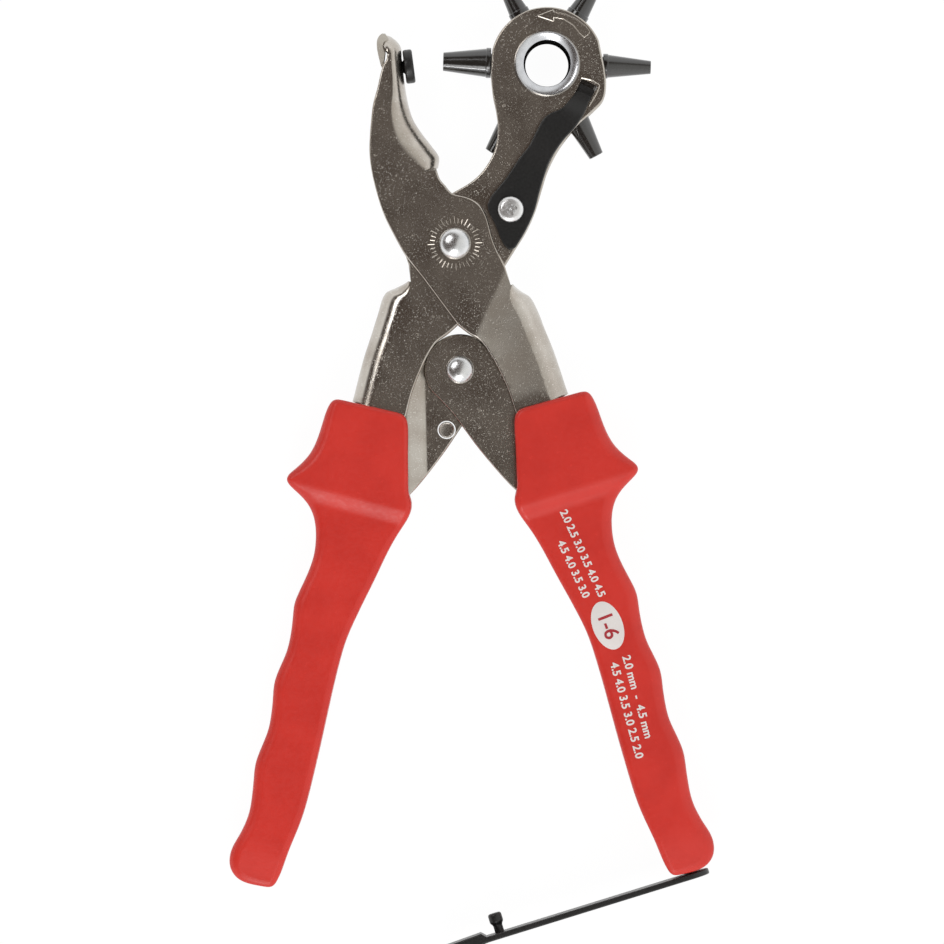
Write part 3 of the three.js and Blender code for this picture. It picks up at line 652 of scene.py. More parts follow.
def bright_metal(name, base, dark, roughness, grain=0.15):
    """Bright plate or wire: cloudy tone and a fine grain."""
    made, tree, shader, place = new_material(name)
    cloud = noise_of(tree, place, 500, 3)
    fine = noise_of(tree, place, 3000, 2)
    tone = blend_colours(tree, window(tree, cloud, 0.3, 0.75), colour(*dark), colour(*base))
    rough = window(tree, fine, 0.3, 0.7, roughness - 0.04, roughness + 0.06)
    shader.inputs["Metallic"].default_value = 1
    dress(tree, shader, tone, rough, fine, grain, 0.00003)
    return made


def moulded(name, base, worn, roughness, grain, grain_height, **settings):
    """Moulded plastic or lacquer: fine grain, faint mottling, dull patches; settings are the shader's own."""
    made, tree, shader, place = new_material(name)
    cloud = noise_of(tree, place, 90, 4)
    fine = noise_of(tree, place, grain, 3, 0.6)
    dust = noise_of(tree, place, 1100, 2, 0.5)
    tone = blend_colours(tree, window(tree, cloud, 0.3, 0.72, 0, 0.6), colour(*base), colour(*worn))
    dusty = [min(1, c * 1.6 + 0.02) for c in worn]
    tone = blend_colours(tree, window(tree, dust, 0.66, 0.76, 0, 0.22), tone, colour(*dusty))
    rough = window(tree, fine, 0.3, 0.7, roughness - 0.05, roughness + 0.07)
    for socket, value in settings.items():
        shader.inputs[socket.replace("_", " ")].default_value = value
    dress(tree, shader, tone, rough, fine, 0.4, grain_height)
    return made


# The nickel's second colour is the tone of its painted glints
NICKEL = plate_metal("nickel", (0.56, 0.525, 0.475), (0.92, 0.90, 0.86), (0.43, 0.385, 0.335), 0.21)
ZINC = bright_metal("zinc", (0.66, 0.67, 0.69), (0.56, 0.57, 0.59), 0.26, 0.04)
SCREW_ZINC = bright_metal("screw_zinc", (0.84, 0.84, 0.84), (0.74, 0.74, 0.74), 0.34, 0.04)
DULL_ZINC = bright_metal("dull_zinc", (0.56, 0.53, 0.49), (0.46, 0.43, 0.39), 0.24)
POLISHED = bright_metal("polished_zinc", (0.78, 0.78, 0.78), (0.66, 0.67, 0.68), 0.27)
BLACK_STEEL = moulded("black_steel", (0.012, 0.011, 0.010), (0.022, 0.020, 0.018), 0.18, 1600, 0.000004,
                      Coat_Weight=0.6, Coat_Roughness=0.16, IOR=1.7)
SPRING_STEEL = bright_metal("spring_steel", (0.42, 0.41, 0.39), (0.30, 0.29, 0.27), 0.3)
RED_PLASTIC = moulded("red_plastic", (0.65, 0.037, 0.026), (0.54, 0.026, 0.018), 0.36, 900, 0.00008,
                      Specular_IOR_Level=0.35)
# Painted shade: black and without reflections, for the inside of the hollow axle's bore
BORE_SHADE_MATERIAL = moulded("painted_bore_shade", (0.006, 0.006, 0.006), (0.012, 0.011, 0.010), 0.9, 1600, 0.00002,
                     Specular_IOR_Level=0)
BLACK_PLASTIC = moulded("black_plastic", (0.007, 0.007, 0.007), (0.014, 0.013, 0.013), 0.36, 1800, 0.00003)
PRINT = moulded("white_print", (0.80, 0.76, 0.74), (0.74, 0.68, 0.66), 0.5, 2400, 0.00001)
RED_PRINT = moulded("red_print", (0.42, 0.02, 0.03), (0.36, 0.02, 0.03), 0.5, 2400, 0.00001)


# Jaw levers: rows are shares of a line's length and of a width, with a share of a depth or rounding

turret_centre = Vector((math.sin(TURRET_LEAN), math.cos(TURRET_LEAN))) * TURRET_REACH
turret_line = Line(MAIN, turret_centre)
punch_way = heading(OPEN_TUBE_ANGLE + CLOSE_ANGLE)
anvil_face = turned_about(turret_centre, CLOSE_ANGLE) + punch_way * (PUNCH_REACH + GAP)
jaw_line = Line(MAIN, anvil_face)
tail_line = Line(MAIN, RIGHT_LINK)
arm_screw = turret_line.at(15.3, -9.4)

TAIL_WEB = [
    (0.48, 1.13, 1), (0.58, 1.06, 1), (0.68, 1, 1), (0.78, 0.91, 1), (0.885, 0.8, 1), (0.918, 0.772, 1),
]
ANVIL_SHOULDER = [(0.312, 0.88, 0.05), (0.33, 0.91, 0.3), (0.365, 0.995, 0.7), (0.405, 1.12, 1)]
TURRET_SHOULDER = [(0.262, 0.75, 0.05), (0.285, 0.83, 0.35), (0.32, 0.99, 0.75), (0.362, 1.18, 1)]
TAIL_OPEN = [
    (0.36, -1), (0.42, -0.85), (0.48, -0.67), (0.56, -0.6), (0.66, -0.6), (0.76, -0.64), (0.87, -0.75),
]
TAIL_EAR = 7.2
EAR_TURN = math.radians(100)


def tail_path(rows):
    return [tail_line.at(run * tail_line.length, side * TAIL_WIDTH) for run, side in rows]


def tail_web(shoulder):
    """The web's stations, from the link up to the shoulder."""
    rows = []
    for run, side, bend in reversed([*shoulder, *TAIL_WEB]):
        tangent = tail_line.at(run * tail_line.length, side * TAIL_WIDTH - bend * TAIL_BEND)
        rows.append((tangent.x, tangent.y, bend * TAIL_BEND))
    return [(Vector((x, y)), tail_line.left, depth) for x, y, depth in spline(rows, 5)]


def tail_outline(shoulder):
    return [
        spline(tail_path(TAIL_OPEN), 5),
        arc(RIGHT_LINK, TAIL_EAR, tail_line.angle - math.pi / 2, tail_line.angle + EAR_TURN, 24),
        tail_web(shoulder),
    ]


def mirrored_outline(parts):
    made = []
    for part in reversed(parts):
        if isinstance(part[0], tuple):
            places, ways, depths = zip(*part)
            made.append(list(zip(mirror_points(places), mirror_points(ways), reversed(depths))))
        else:
            made.append(mirror_points(part))
    return made


JAW_BACK = [
    (1.085, 0.36), (1.061, 0.385), (1.034, 0.455), (0.977, 0.545), (0.93, 0.607), (0.837, 0.745),
    (0.768, 0.815), (0.685, 0.891), (0.6, 0.955), (0.5, 0.992), (0.39, 0.995), (0.25, 0.965), (0.12, 0.88),
    (0, 0.78), (-0.14, 0.6),
]
JAW_WEB = [
    (0.425, 0.19, -0.01), (0.445, 0.25, -0.035), (0.485, 0.34, -0.063), (0.551, 0.455, 0.01),
    (0.627, 0.525, 0.108), (0.709, 0.53, 0.19), (0.785, 0.5, 0.214), (0.87, 0.42, 0.206),
    (0.95, 0.365, 0.187), (1.03, 0.33, 0.158),
]
JAW_TIP = [(0, 0.168), (32, 0.2), (61, 0.24), (85, 0.29), (100, 0.275), (112, 0.235)]
JAW_TIP_CENTRE = (1.083, 0.33)
JAW_TIP_ROUND = 0.5
JAW_HOOK = [
    (1.196, 0.34, 0.5), (1.19, 0.386, 0.5), (1.173, 0.43, 0.5), (1.144, 0.459, 0.42), (1.109, 0.472, 0.36),
    (1.078, 0.476, 0.28), (1.045, 0.477, 0.18), (1.028, 0.468, 0.12), (1.052, 0.447, 0.18),
    (1.081, 0.419, 0.28), (1.11, 0.395, 0.36), (1.14, 0.378, 0.42), (1.155, 0.345, 0.5), (1.165, 0.31, 0.5),
]
THROAT = [(0.42, 0.02), (0.36, 0), (0.32, -0.055), (0.269, -0.135)]
SHOULDER = [(0.227, -0.356), (0.177, -0.498), (0.109, -0.563)]
SHOULDER_TAIL = [(0.212, 0.917), (0.083, 0.964)]
JOGGLE = Line(MAIN, heading(math.radians(-27)))
JOGGLE_START = 15.8
SHIELD_EDGE = Line((15.1, -44.2), (35.9, -41.6))
HOOK_HALF = 6.2
HOOK_LEAN = 0.028
TAIL_PROUD = 0.05
SLICE = 2.5


def jaw_point(row):
    return jaw_line.at(row[0] * jaw_line.length, row[1] * JAW_WIDTH)


def jaw_web():
    facing = jaw_line.angle - math.pi / 2
    tip = jaw_point(JAW_TIP_CENTRE)
    rows = []
    for run, near, far in JAW_WEB:
        tangent = jaw_point((run, near))
        rows.append((tangent.x, tangent.y, facing, (near - far) * JAW_WIDTH))
    for degrees, depth in JAW_TIP:
        angle = facing + math.radians(degrees)
        tangent = tip + heading(angle) * JAW_TIP_ROUND
        rows.append((tangent.x, tangent.y, angle, depth * JAW_WIDTH))
    return [(Vector((x, y)), heading(angle), depth) for x, y, angle, depth in spline(rows, 5)]


def tail_level(x, y):
    """The right tail falls from the step's line to the shield's edge, and is flat past it."""
    spot = Vector((x, y))
    past = spot.dot(JOGGLE.along) - JOGGLE_START
    ahead = (spot - SHIELD_EDGE.start).dot(SHIELD_EDGE.left)
    run = max(past + max(ahead, 0), 1)
    ease = BEND_EASE / run
    return OUTER_JAW - (OUTER_JAW - INNER_JAW - TAIL_PROUD) * eased(past / run, ease)


TICKS = 36
TICK_START = 5.6
TICK_LONG = 1.9
TICK_SHORT = 1.3
TICK_RADIUS = 0.19


def ring_ticks():
    """Plain ticks round the main rivet, every third one long."""
    ticks = []
    for i in range(TICKS):
        way = heading(2 * math.pi * i / TICKS)
        ticks.append([way * TICK_START, way * (TICK_START + (TICK_LONG if i % 3 == 0 else TICK_SHORT))])
    return ticks


ANVIL_STEM = 1.6
ANVIL_SEAT = 5.0
ANVIL_PLATE = 2.9
ANVIL_BEHIND = 18
ANVIL_EDGE = [
    (0, 0), (4.7, 0), (4.7, 2.6), (ANVIL_STEM, 2.6), (ANVIL_STEM, 4.7), (2.5, 4.7), (2.5, 5.7), (0, 5.7),
]


def anvil_lever():
    tip = jaw_point(JAW_TIP_CENTRE)
    facing = jaw_line.angle - math.pi / 2
    stations = outline_stations([
        jaw_web(),
        arc(tip, JAW_TIP_ROUND, facing + math.radians(125), facing + math.pi, 6),
        spline([jaw_point(row) for row in JAW_BACK], 5),
        *tail_outline(ANVIL_SHOULDER),
        spline(tail_path(SHOULDER_TAIL) + [jaw_point(row) for row in reversed(THROAT + SHOULDER)], 5),
    ])
    body = sheet_lever(stations, OUTER_JAW)
    rows = spline([(*jaw_point(row), row[2]) for row in reversed(JAW_HOOK)], 5)
    hook = slab([row.xy for row in rows], -HOOK_HALF, HOOK_HALF, [row.z for row in rows])
    left = min(row.x for row in rows)
    relevel(hook, lambda co: co.z * (1 - HOOK_LEAN * (co.x - left)))
    body = plus(body, hook)
    slice_at(body, bend_places(JOGGLE_START, 0), JOGGLE.along.to_3d())
    slice_at(body, [JOGGLE_START + SLICE * k for k in range(1, 16)], JOGGLE.along.to_3d())
    edge = -SHIELD_EDGE.left.dot(SHIELD_EDGE.start)
    slice_at(body, [edge - SLICE * k for k in range(9)], -SHIELD_EDGE.left.to_3d())
    body = stepped(body, OUTER_JAW, tail_level)
    body = plus(body, ridges(ring_ticks(), OUTER_JAW, TICK_RADIUS))
    seat = standing(punch_way, anvil_face)
    stem_hole = moved(pin(ANVIL_STEM + GAP, -ANVIL_BEHIND, ANVIL_BEHIND), seat)
    seat_cut = moved(pin(ANVIL_SEAT, -ANVIL_BEHIND, ANVIL_PLATE, 96), seat)
    return less(body, bore(MAIN_HOLE), bore(LINK_HOLE, RIGHT_LINK), stem_hole, seat_cut)


piece("anvil_jaw_lever", anvil_lever(), "anvil_jaw", NICKEL, ["anvil_lever"])

TURRET_THROAT = [
    (0.83, 0.81), (0.74, 0.6), (0.677, 0.42), (0.613, 0.27), (0.53, 0.15), (0.453, 0.121), (0.375, 0.154),
    (0.305, 0.249), (0.213, 0.458),
]
TURRET_BACK = [
    (0, -0.96), (0.11, -0.995), (0.215, -1.026), (0.323, -1.006), (0.437, -0.933), (0.529, -0.878),
    (0.64, -0.872), (0.733, -0.923), (0.814, -1), (0.896, -1.112), (0.97, -1.179), (1.04, -1.1),
    (1.11, -0.94),
]
HEAD_START = -math.pi / 4.6
HEAD_END = math.pi / 1.75


def turret_path(rows):
    return [turret_line.at(run * TURRET_REACH, side * HEAD_RADIUS) for run, side in rows]


ARM_SLOT = [(0.918, -0.672), (0.918, -0.99), (1.012, -0.99), (1.012, -0.672)]
SLOT_RIM = [(1.014, -0.655), (1.026, -0.82), (1.022, -1.005), (0.97, -1.02), (0.905, -1.0)]
ARROW = [
    (13.5, 99.5), (15.0, 81.5), (14.3, 80.5), (14.4, 68), (14.6, 55), (14.7, 42), (14.5, 34), (12.6, 33),
    (12.2, 41), (12.8, 54), (13.1, 68), (12.9, 80), (11.8, 79), (13.3, 98.4),
]
ARROW_RADIUS = 0.2
SLOT_RIM_RADIUS = 0.26
SLOT_LOW = 3
SLOT_HIGH = 12


def turret_lever():
    crossing = turret_line.angle + math.atan2(HEAD_RADIUS, TURRET_REACH)
    stations = outline_stations([
        arc(turret_centre, HEAD_RADIUS, turret_line.angle + HEAD_START, turret_line.angle + HEAD_END, 60),
        spline(turret_path(TURRET_THROAT), 5),
        arc(MAIN, CROSS_RADIUS, crossing + math.pi / 8, math.pi * 1.12, 36),
        *mirrored_outline(tail_outline(TURRET_SHOULDER)),
        spline(turret_path(TURRET_BACK), 5),
    ])
    arrow = [turret_centre + heading(math.radians(angle)) * radius for radius, angle in ARROW]
    body = less(
        sheet_lever(stations, INNER_JAW),
        bore(MAIN_HOLE),
        bore(LINK_HOLE, LEFT_LINK),
        bore(AXLE_BORE + AXLE_WALL + GAP, turret_centre, 96),
        bore(ARM_HOLE, arm_screw),
        prism(soften(turret_path(ARM_SLOT), 0.5, 4, True), SLOT_LOW, SLOT_HIGH),
    )
    arrow_ridge = ridges([soften(arrow, 0.25, 2)], INNER_JAW, ARROW_RADIUS)
    rim_ridge = ridges([soften(turret_path(SLOT_RIM), 0.5, 3)], INNER_JAW, SLOT_RIM_RADIUS)
    return joined([body, arrow_ridge, rim_ridge])


piece("turret_jaw_lever", turret_lever(), "turret_jaw", NICKEL, ["turret_lever"])


# Anvil, pivots and pins

def anvil_pad():
    profile = [(max(p.x, 0), p.y) for p in soften(ANVIL_EDGE, 0.7, 5)]
    return moved(lathe(profile), standing(punch_way, anvil_face))


def dome(radius, height):
    return [(radius * math.cos(a), height * math.sin(a)) for a in quarter(14)]


HEAD_LIP = 0.15


def rivet(shank, seat, head, height, back):
    """A domed rivet; back is the rear head's profile, from the axis outwards."""
    top = [(radius, seat + level) for radius, level in dome(head, height)]
    top = [(head - HEAD_LIP, seat), *top]
    top[-1] = (0, seat + height)
    return lathe([*back, (shank, -seat), (shank, seat), *top])


def main_rivet():
    seat = OUTER_JAW + GAP
    back = soften([(0, -MID), (5, -MID), (5, -seat)], 0.6)
    return rivet(shank=3, seat=seat, head=4.4, height=2.6, back=back)


def handle_rivet():
    seat = OUTER_EAR + GAP
    head, height = 3.85, 2
    back = [(radius, -seat - level) for radius, level in reversed(dome(head, height))]
    back[0] = (0, -seat - height)
    made = rivet(shank=2.5, seat=seat, head=head, height=height, back=back)
    return hung(shifted(made, HANDLE_PIVOT), RIGHT_LINK)


piece("anvil_disc", anvil_pad(), "anvil_jaw", BLACK_PLASTIC, ["anvil_pad"])
piece("main_rivet", main_rivet(), "anvil_jaw", POLISHED, ["main_pivot_rivet"])
piece("handle_rivet", handle_rivet(), "right_handle", POLISHED, ["handle_pivot_rivet"])

SPACER_EDGE = [(0, 2.5), (1.72, 2.5), (1.8, 2.62), (1.95, 2.72), (2.1, 2.64), (2.2, 2.4)]


def spacer():
    edge = soften([*SPACER_EDGE, *[(radius, -height) for radius, height in reversed(SPACER_EDGE)]], 0.2, 3)
    return hung(shifted(lathe(edge), SPACER_CENTRE), LEFT_LINK)


piece("spacer_rivet", spacer(), "left_handle", DULL_ZINC, ["spacer_pin"])


# Turret

FLARE_PEAK = 0.22
FLARE_END = 0.15
FLARE_POWER = 1.4
FLARE_STEPS = 24


def flare_height(share):
    """The eyelet's rim, from its outer edge to its bore: a short rise and a long fall."""
    if share < FLARE_PEAK:
        return math.sin(math.pi / 2 * share / FLARE_PEAK)
    return 1 - (1 - FLARE_END) * ((share - FLARE_PEAK) / (1 - FLARE_PEAK)) ** FLARE_POWER


def axle():
    wall = AXLE_BORE + AXLE_WALL
    rim = wall + AXLE_RIM
    seat = INNER_JAW + GAP
    shares = [k / FLARE_STEPS for k in range(FLARE_STEPS + 1)]
    flare = [
        (rim - (rim - AXLE_BORE) * share, seat + AXLE_RIM_HEIGHT * flare_height(share)) for share in shares
    ]
    under = [*flare, (AXLE_BORE, seat)]
    lower = [(radius, -height) for radius, height in reversed(under)]
    return shifted(lathe([(wall, -seat), (wall, seat), *under, *lower]), turret_centre)


SEAT_FROM = 10
DIMPLE = [(0, -1.1), (1.5, 0), (1.5, 0.5), (0, 0.5)]


def wheel():
    hub = AXLE_BORE + AXLE_WALL + GAP
    edge = soften([
        (hub, -WHEEL_FACE), (WHEEL_RADIUS, -WHEEL_FACE), (WHEEL_RADIUS, WHEEL_FACE), (hub, WHEEL_FACE),
    ], 0.8, 5, True)
    cuts = []
    for i in range(len(PUNCH_HOLES)):
        turn = i * math.pi / 3
        seat = pin(ROOT_RADIUS + GAP, SEAT_FROM, BORE_REACH)
        cuts.append(moved(seat, standing(heading(OPEN_TUBE_ANGLE + turn), MAIN)))
        cuts.append(shifted(lathe(DIMPLE, 32), heading(NOSE_ANGLE + turn) * NOSE_ORBIT, WHEEL_FACE))
    return shifted(less(lathe(edge), *cuts), turret_centre)


# How much each stretch of a punch adds to the radius or the height of the one before
PUNCH_WALL = 0.3
PUNCH_TAPER = 1.4
PUNCH_FLANGE = 0.25
PUNCH_SHANK = 1.3
PUNCH_DEPTH = 4.5
PUNCH_CHAMFER = 0.05


def punch(index):
    inside = PUNCH_HOLES[index] / 2
    tip = inside + PUNCH_WALL
    base = tip + PUNCH_TAPER
    flange = base + PUNCH_FLANGE
    root = WHEEL_RADIUS - PUNCH_DEPTH
    collar = WHEEL_RADIUS + GAP
    shank = collar + PUNCH_SHANK
    outer = soften([
        (ROOT_RADIUS, root), (ROOT_RADIUS, collar), (flange, collar), (flange, shank),
        (base, shank + PUNCH_CHAMFER), (tip, PUNCH_REACH), (inside + PUNCH_CHAMFER, PUNCH_REACH),
    ], 0.22, 3)
    profile = [(inside, root), *outer, (inside, PUNCH_REACH - 2 * PUNCH_CHAMFER)]
    angle = OPEN_TUBE_ANGLE + index * math.pi / 3
    return moved(lathe(profile, 72), standing(heading(angle), turret_centre))


piece("axle_eyelet", axle(), "turret_jaw", ZINC, ["turret_axle"])
piece("punch_wheel", wheel(), "turret", BLACK_STEEL, ["turret_wheel"])
for index, hole in enumerate(PUNCH_HOLES):
    label = round(hole * 10)
    piece(f"punch_{label}", punch(index), "turret", BLACK_STEEL, [f"punch_tube_{label}"])

# A dark sheet inside the hollow axle's bore, without reflections: painted shade
BORE_SHADE_WALL = 0.12
BORE_SHADE_FOOT = 0.55
BORE_SHADE_GAP = 0.02
bore_shade_reach = INNER_JAW - GAP
bore_shade_body = lathe([
    (AXLE_BORE - BORE_SHADE_GAP, -bore_shade_reach), (AXLE_BORE - BORE_SHADE_GAP, bore_shade_reach),
    (AXLE_BORE - BORE_SHADE_WALL, bore_shade_reach), (AXLE_BORE - BORE_SHADE_FOOT, -bore_shade_reach),
])
piece("axle_bore_shade_sheet", shifted(bore_shade_body, turret_centre), "turret_jaw", BORE_SHADE_MATERIAL)


# Index arm and screw

ARM_LEFT = [
    (0.093, -0.917), (0.104, -0.782), (0.174, -0.481), (0.244, -0.196), (0.405, -0.279), (0.523, -0.327),
    (0.593, -0.378), (0.687, -0.376), (0.748, -0.388), (0.79, -0.46), (0.83, -0.585), (0.88, -0.64),
    (0.948, -0.695),
]
ARM_RIGHT = [
    (0.952, -0.958), (0.918, -0.968), (0.86, -0.985), (0.778, -0.955), (0.699, -0.876), (0.572, -0.828),
    (0.505, -0.86), (0.434, -0.9), (0.323, -0.99), (0.215, -1.01), (0.115, -0.985),
]
ARM_DIP = 0.8
ARM_TIP = 0.95
ARM_SINK = 2.35
ARM_ROUND = 0.45
ARM_SLICES = 10
NOSE_TOP = 5.2
NOSE_STEP = 0.4
NOSE_HALF = (1.8, 2.2)
NOSE_ROUND = 0.15


def index_arm():
    outline = soften(spline(turret_path(ARM_RIGHT), 3) + spline(turret_path(ARM_LEFT), 3), 0.5, 2, True)
    outline.reverse()
    body = slab(outline, ARM_BOTTOM, ARM_TOP, ARM_ROUND, 4)
    along = turret_line.along.to_3d()
    span = ARM_TIP - ARM_DIP
    slice_at(body, [TURRET_REACH * (ARM_DIP + span * k / ARM_SLICES) for k in range(ARM_SLICES)], along)

    def dipped(co):
        drop = ARM_SINK * smooth_step((co.dot(along) / TURRET_REACH - ARM_DIP) / span)
        share = (co.z - ARM_BOTTOM) / (ARM_TOP - ARM_BOTTOM)
        return co.z - drop * share

    relevel(body, dipped)
    centre = turret_centre + heading(NOSE_ANGLE) * NOSE_ORBIT
    corners = rectangle(Line(centre, centre + turret_line.along), *NOSE_HALF, 0.4, 4)
    nose = slab(corners, WHEEL_FACE + GAP, ARM_BOTTOM + NOSE_ROUND, NOSE_ROUND, 3)
    front = turret_line.length * ARM_TIP - NOSE_STEP
    slice_at(nose, [front, front + NOSE_STEP], along)
    relevel(nose, lambda co: min(co.z, NOSE_TOP) if co.dot(along) > front + NOSE_STEP / 2 else co.z)
    return less(plus(body, nose), bore(ARM_HOLE, arm_screw))


# Radii, and heights above the screw's seat
SCREW_RADIUS = 1.9
SCREW_END = -1.2
SCREW_HEAD = [(3.3, 0), (3.6, 0.4), (3.5, 1.15), (2.7, 1.75), (0, 2)]
CROSS_TURN = 0.2
CROSS_HALF = (1.8, 0.42)
CROSS_FLOOR = 0.9
CROSS_TOP = 4
CROSS_CONE = [(0, 0.25), (1.35, 1.9), (1.35, CROSS_TOP), (0, CROSS_TOP)]


def screw():
    """A pan head with a cross recess; the shank's end is a height of the tool."""
    seat = ARM_TOP + GAP
    head = soften([(radius, seat + height) for radius, height in SCREW_HEAD], 0.5, 5)
    body = lathe([(0, SCREW_END), (SCREW_RADIUS, SCREW_END), (SCREW_RADIUS, seat), *head])
    cuts = []
    for turn in (CROSS_TURN, CROSS_TURN + math.pi / 2):
        corners = rectangle(Line(MAIN, heading(turn)), *CROSS_HALF, 0.2, 3)
        cuts.append(prism(corners, seat + CROSS_FLOOR, seat + CROSS_TOP))
    cuts.append(lathe([(radius, seat + height) for radius, height in CROSS_CONE], 32))
    return shifted(less(body, *cuts), arm_screw)


piece("catch_arm", index_arm(), "index_arm", BLACK_PLASTIC, ["index_arm"])
piece("catch_screw", screw(), "turret_jaw", SCREW_ZINC, ["index_screw"], 28)


# Handle levers

handle_line = Line(HANDLE_PIVOT, RIGHT_LINK)
grip_way = Vector((math.sin(GRIP_TILT), -math.cos(GRIP_TILT)))
grip_line = Line(RIGHT_LINK, RIGHT_LINK + grip_way)
HANDLE_EDGE = [(0.14, -0.39), (0.29, -0.46), (0.54, -0.57), (0.95, -0.715)]
TANG_EDGE = [(0.168, -1.375), (0.245, -0.9), (0.33, -0.45)]
TANG_LENGTH = 108
TANG_HALF = 3.6
TANG_BEND = 2.6
HANDLE_HEAD = 9.8
HANDLE_EAR = 4.4
STEP_CLEARANCE = 0.5


def handle_parts(web_side):
    """The handle lever's outline, drawn for the right side; the web's stretch is a list of stations."""
    arm = handle_line.length
    facing = handle_line.angle + math.pi / 2
    return [
        arc(HANDLE_PIVOT, HANDLE_HEAD, facing, handle_line.angle + math.pi * 1.45, 40),
        spline([handle_line.at(run * arm, side * arm) for run, side in HANDLE_EDGE]
               + [grip_line.at(run * GRIP_LENGTH, side * GRIP_WIDTH) for run, side in TANG_EDGE]
               + [grip_line.at(TANG_LENGTH, -TANG_HALF)], 4),
        [(grip_line.at(TANG_LENGTH * share, web_side), grip_line.left, TANG_BEND)
         for share in (1, 0.8, 0.6, 0.4, 0.25, 0.16)],
        arc(RIGHT_LINK, HANDLE_EAR, grip_line.angle + math.pi / 2, facing, 12),
    ]


STEP_START = -14.6
STEP_RUN = 4.4


def handle_level(x, _):
    return OUTER_EAR - (OUTER_EAR - INNER_EAR) * eased((-x - STEP_START) / STEP_RUN, BEND_EASE / STEP_RUN)


def handle_lever(step=False):
    """Drawn for the right side; the left lever has a step inwards at the pivot, and the spacer's hole."""
    body = sheet_lever(outline_stations(handle_parts(TANG_HALF - TANG_BEND)), OUTER_EAR)
    if step:
        slice_at(body, bend_places(STEP_START, STEP_RUN), Vector((-1, 0, 0)))
        body = stepped(body, OUTER_EAR, handle_level)
    clearance = STEP_CLEARANCE if step else 0
    body = less(body, bore(LINK_HOLE + clearance, HANDLE_PIVOT), bore(LINK_HOLE, RIGHT_LINK))
    if step:
        body = less(body, bore(SPACER_HOLE, Vector((-SPACER_CENTRE.x, SPACER_CENTRE.y))))
        return hung(moved(body, MIRROR), LEFT_LINK)
    return hung(body, RIGHT_LINK)


piece("right_tang_lever", handle_lever(), "right_handle", NICKEL, ["right_handle_lever"])
piece("left_tang_lever", handle_lever(True), "left_handle", NICKEL, ["left_handle_lever"])


# Grips: rows are shares of the length and of the width, with a share of the edge's rounding

GRIP_OUTER = [
    (-0.042, 1.5, 0.5), (-0.02, 1.61, 0.8), (0.053, 1.69, 1), (0.086, 1.81, 1), (0.118, 2.1, 0.8),
    (0.143, 2.42, 0.5),
]
GRIP_FINGERS = [
    (0.151, 2.42, 0.4), (0.161, 2.2, 0.5), (0.174, 1.8, 0.7), (0.188, 1.46, 0.9), (0.205, 1.21, 1),
    (0.226, 1.03, 1), (0.254, 0.89, 1), (0.29, 0.806, 1), (0.328, 0.85, 1), (0.366, 0.963, 1), (0.4, 1.05, 1),
    (0.43, 0.975, 1), (0.466, 0.9, 1), (0.504, 0.888, 1), (0.54, 0.985, 1), (0.573, 1.04, 1), (0.62, 0.91, 1),
    (0.672, 0.83, 1), (0.715, 0.92, 1), (0.75, 0.975, 1), (0.8, 0.85, 1), (0.855, 0.76, 1), (0.9, 0.875, 1),
    (0.94, 1.05, 1), (0.975, 0.95, 0.9), (0.995, 0.6, 0.8), (1, 0.2, 0.7),
]
GRIP_INNER = [
    (0.996, -0.68, 0.5), (0.97, -0.79, 0.6), (0.916, -0.875, 0.6), (0.832, -1.05, 0.6), (0.71, -1.05, 0.6),
    (0.527, -0.963, 0.6), (0.45, -0.99, 0.6), (0.378, -1.19, 0.6), (0.317, -1.4, 0.6), (0.237, -1.66, 0.6),
    (0.2, -1.83, 0.5), (0.166, -2.02, 0.5), (0.143, -2.06, 0.5), (0.127, -2.0, 0.5),
]
GRIP_CHEEK = [(0.116, -1.825, 0.4), (0.038, -1.49, 0.4), (-0.036, -1.16, 0.4), (-0.046, -1.02, 0.4)]
POCKET_WALL = [1.64, 1.71]
SLOPE_START = 20.1
SLOPE_END = 23.5
END_FACET = 11
END_DROP = 1.3
SLOPE_EASE = 0.4
FACET_EASE = 0.3
GRIP_SPACING = 0.8
POCKET_FAR = 60
POCKET_SHELL = 2.5
POCKET_SPARE = 0.8
TANG_SPACING = 0.3
END_HOLE_OUT = 3


def grip_side(rows, steps):
    scaled = [(x * GRIP_LENGTH, y * GRIP_WIDTH, z * OUTER_ROUND) for x, y, z in rows]
    return spline(scaled, steps)


def grip_level(run):
    """Half the grip's thickness at a run: the shield, its slope, the handle and the end's facet."""
    slope = (run - SLOPE_START) / (SLOPE_END - SLOPE_START)
    level = SHIELD_OUT - (SHIELD_OUT - GRIP_OUT) * eased(slope, SLOPE_EASE)
    return level - END_DROP * eased((run - GRIP_LENGTH + END_FACET) / END_FACET, FACET_EASE)


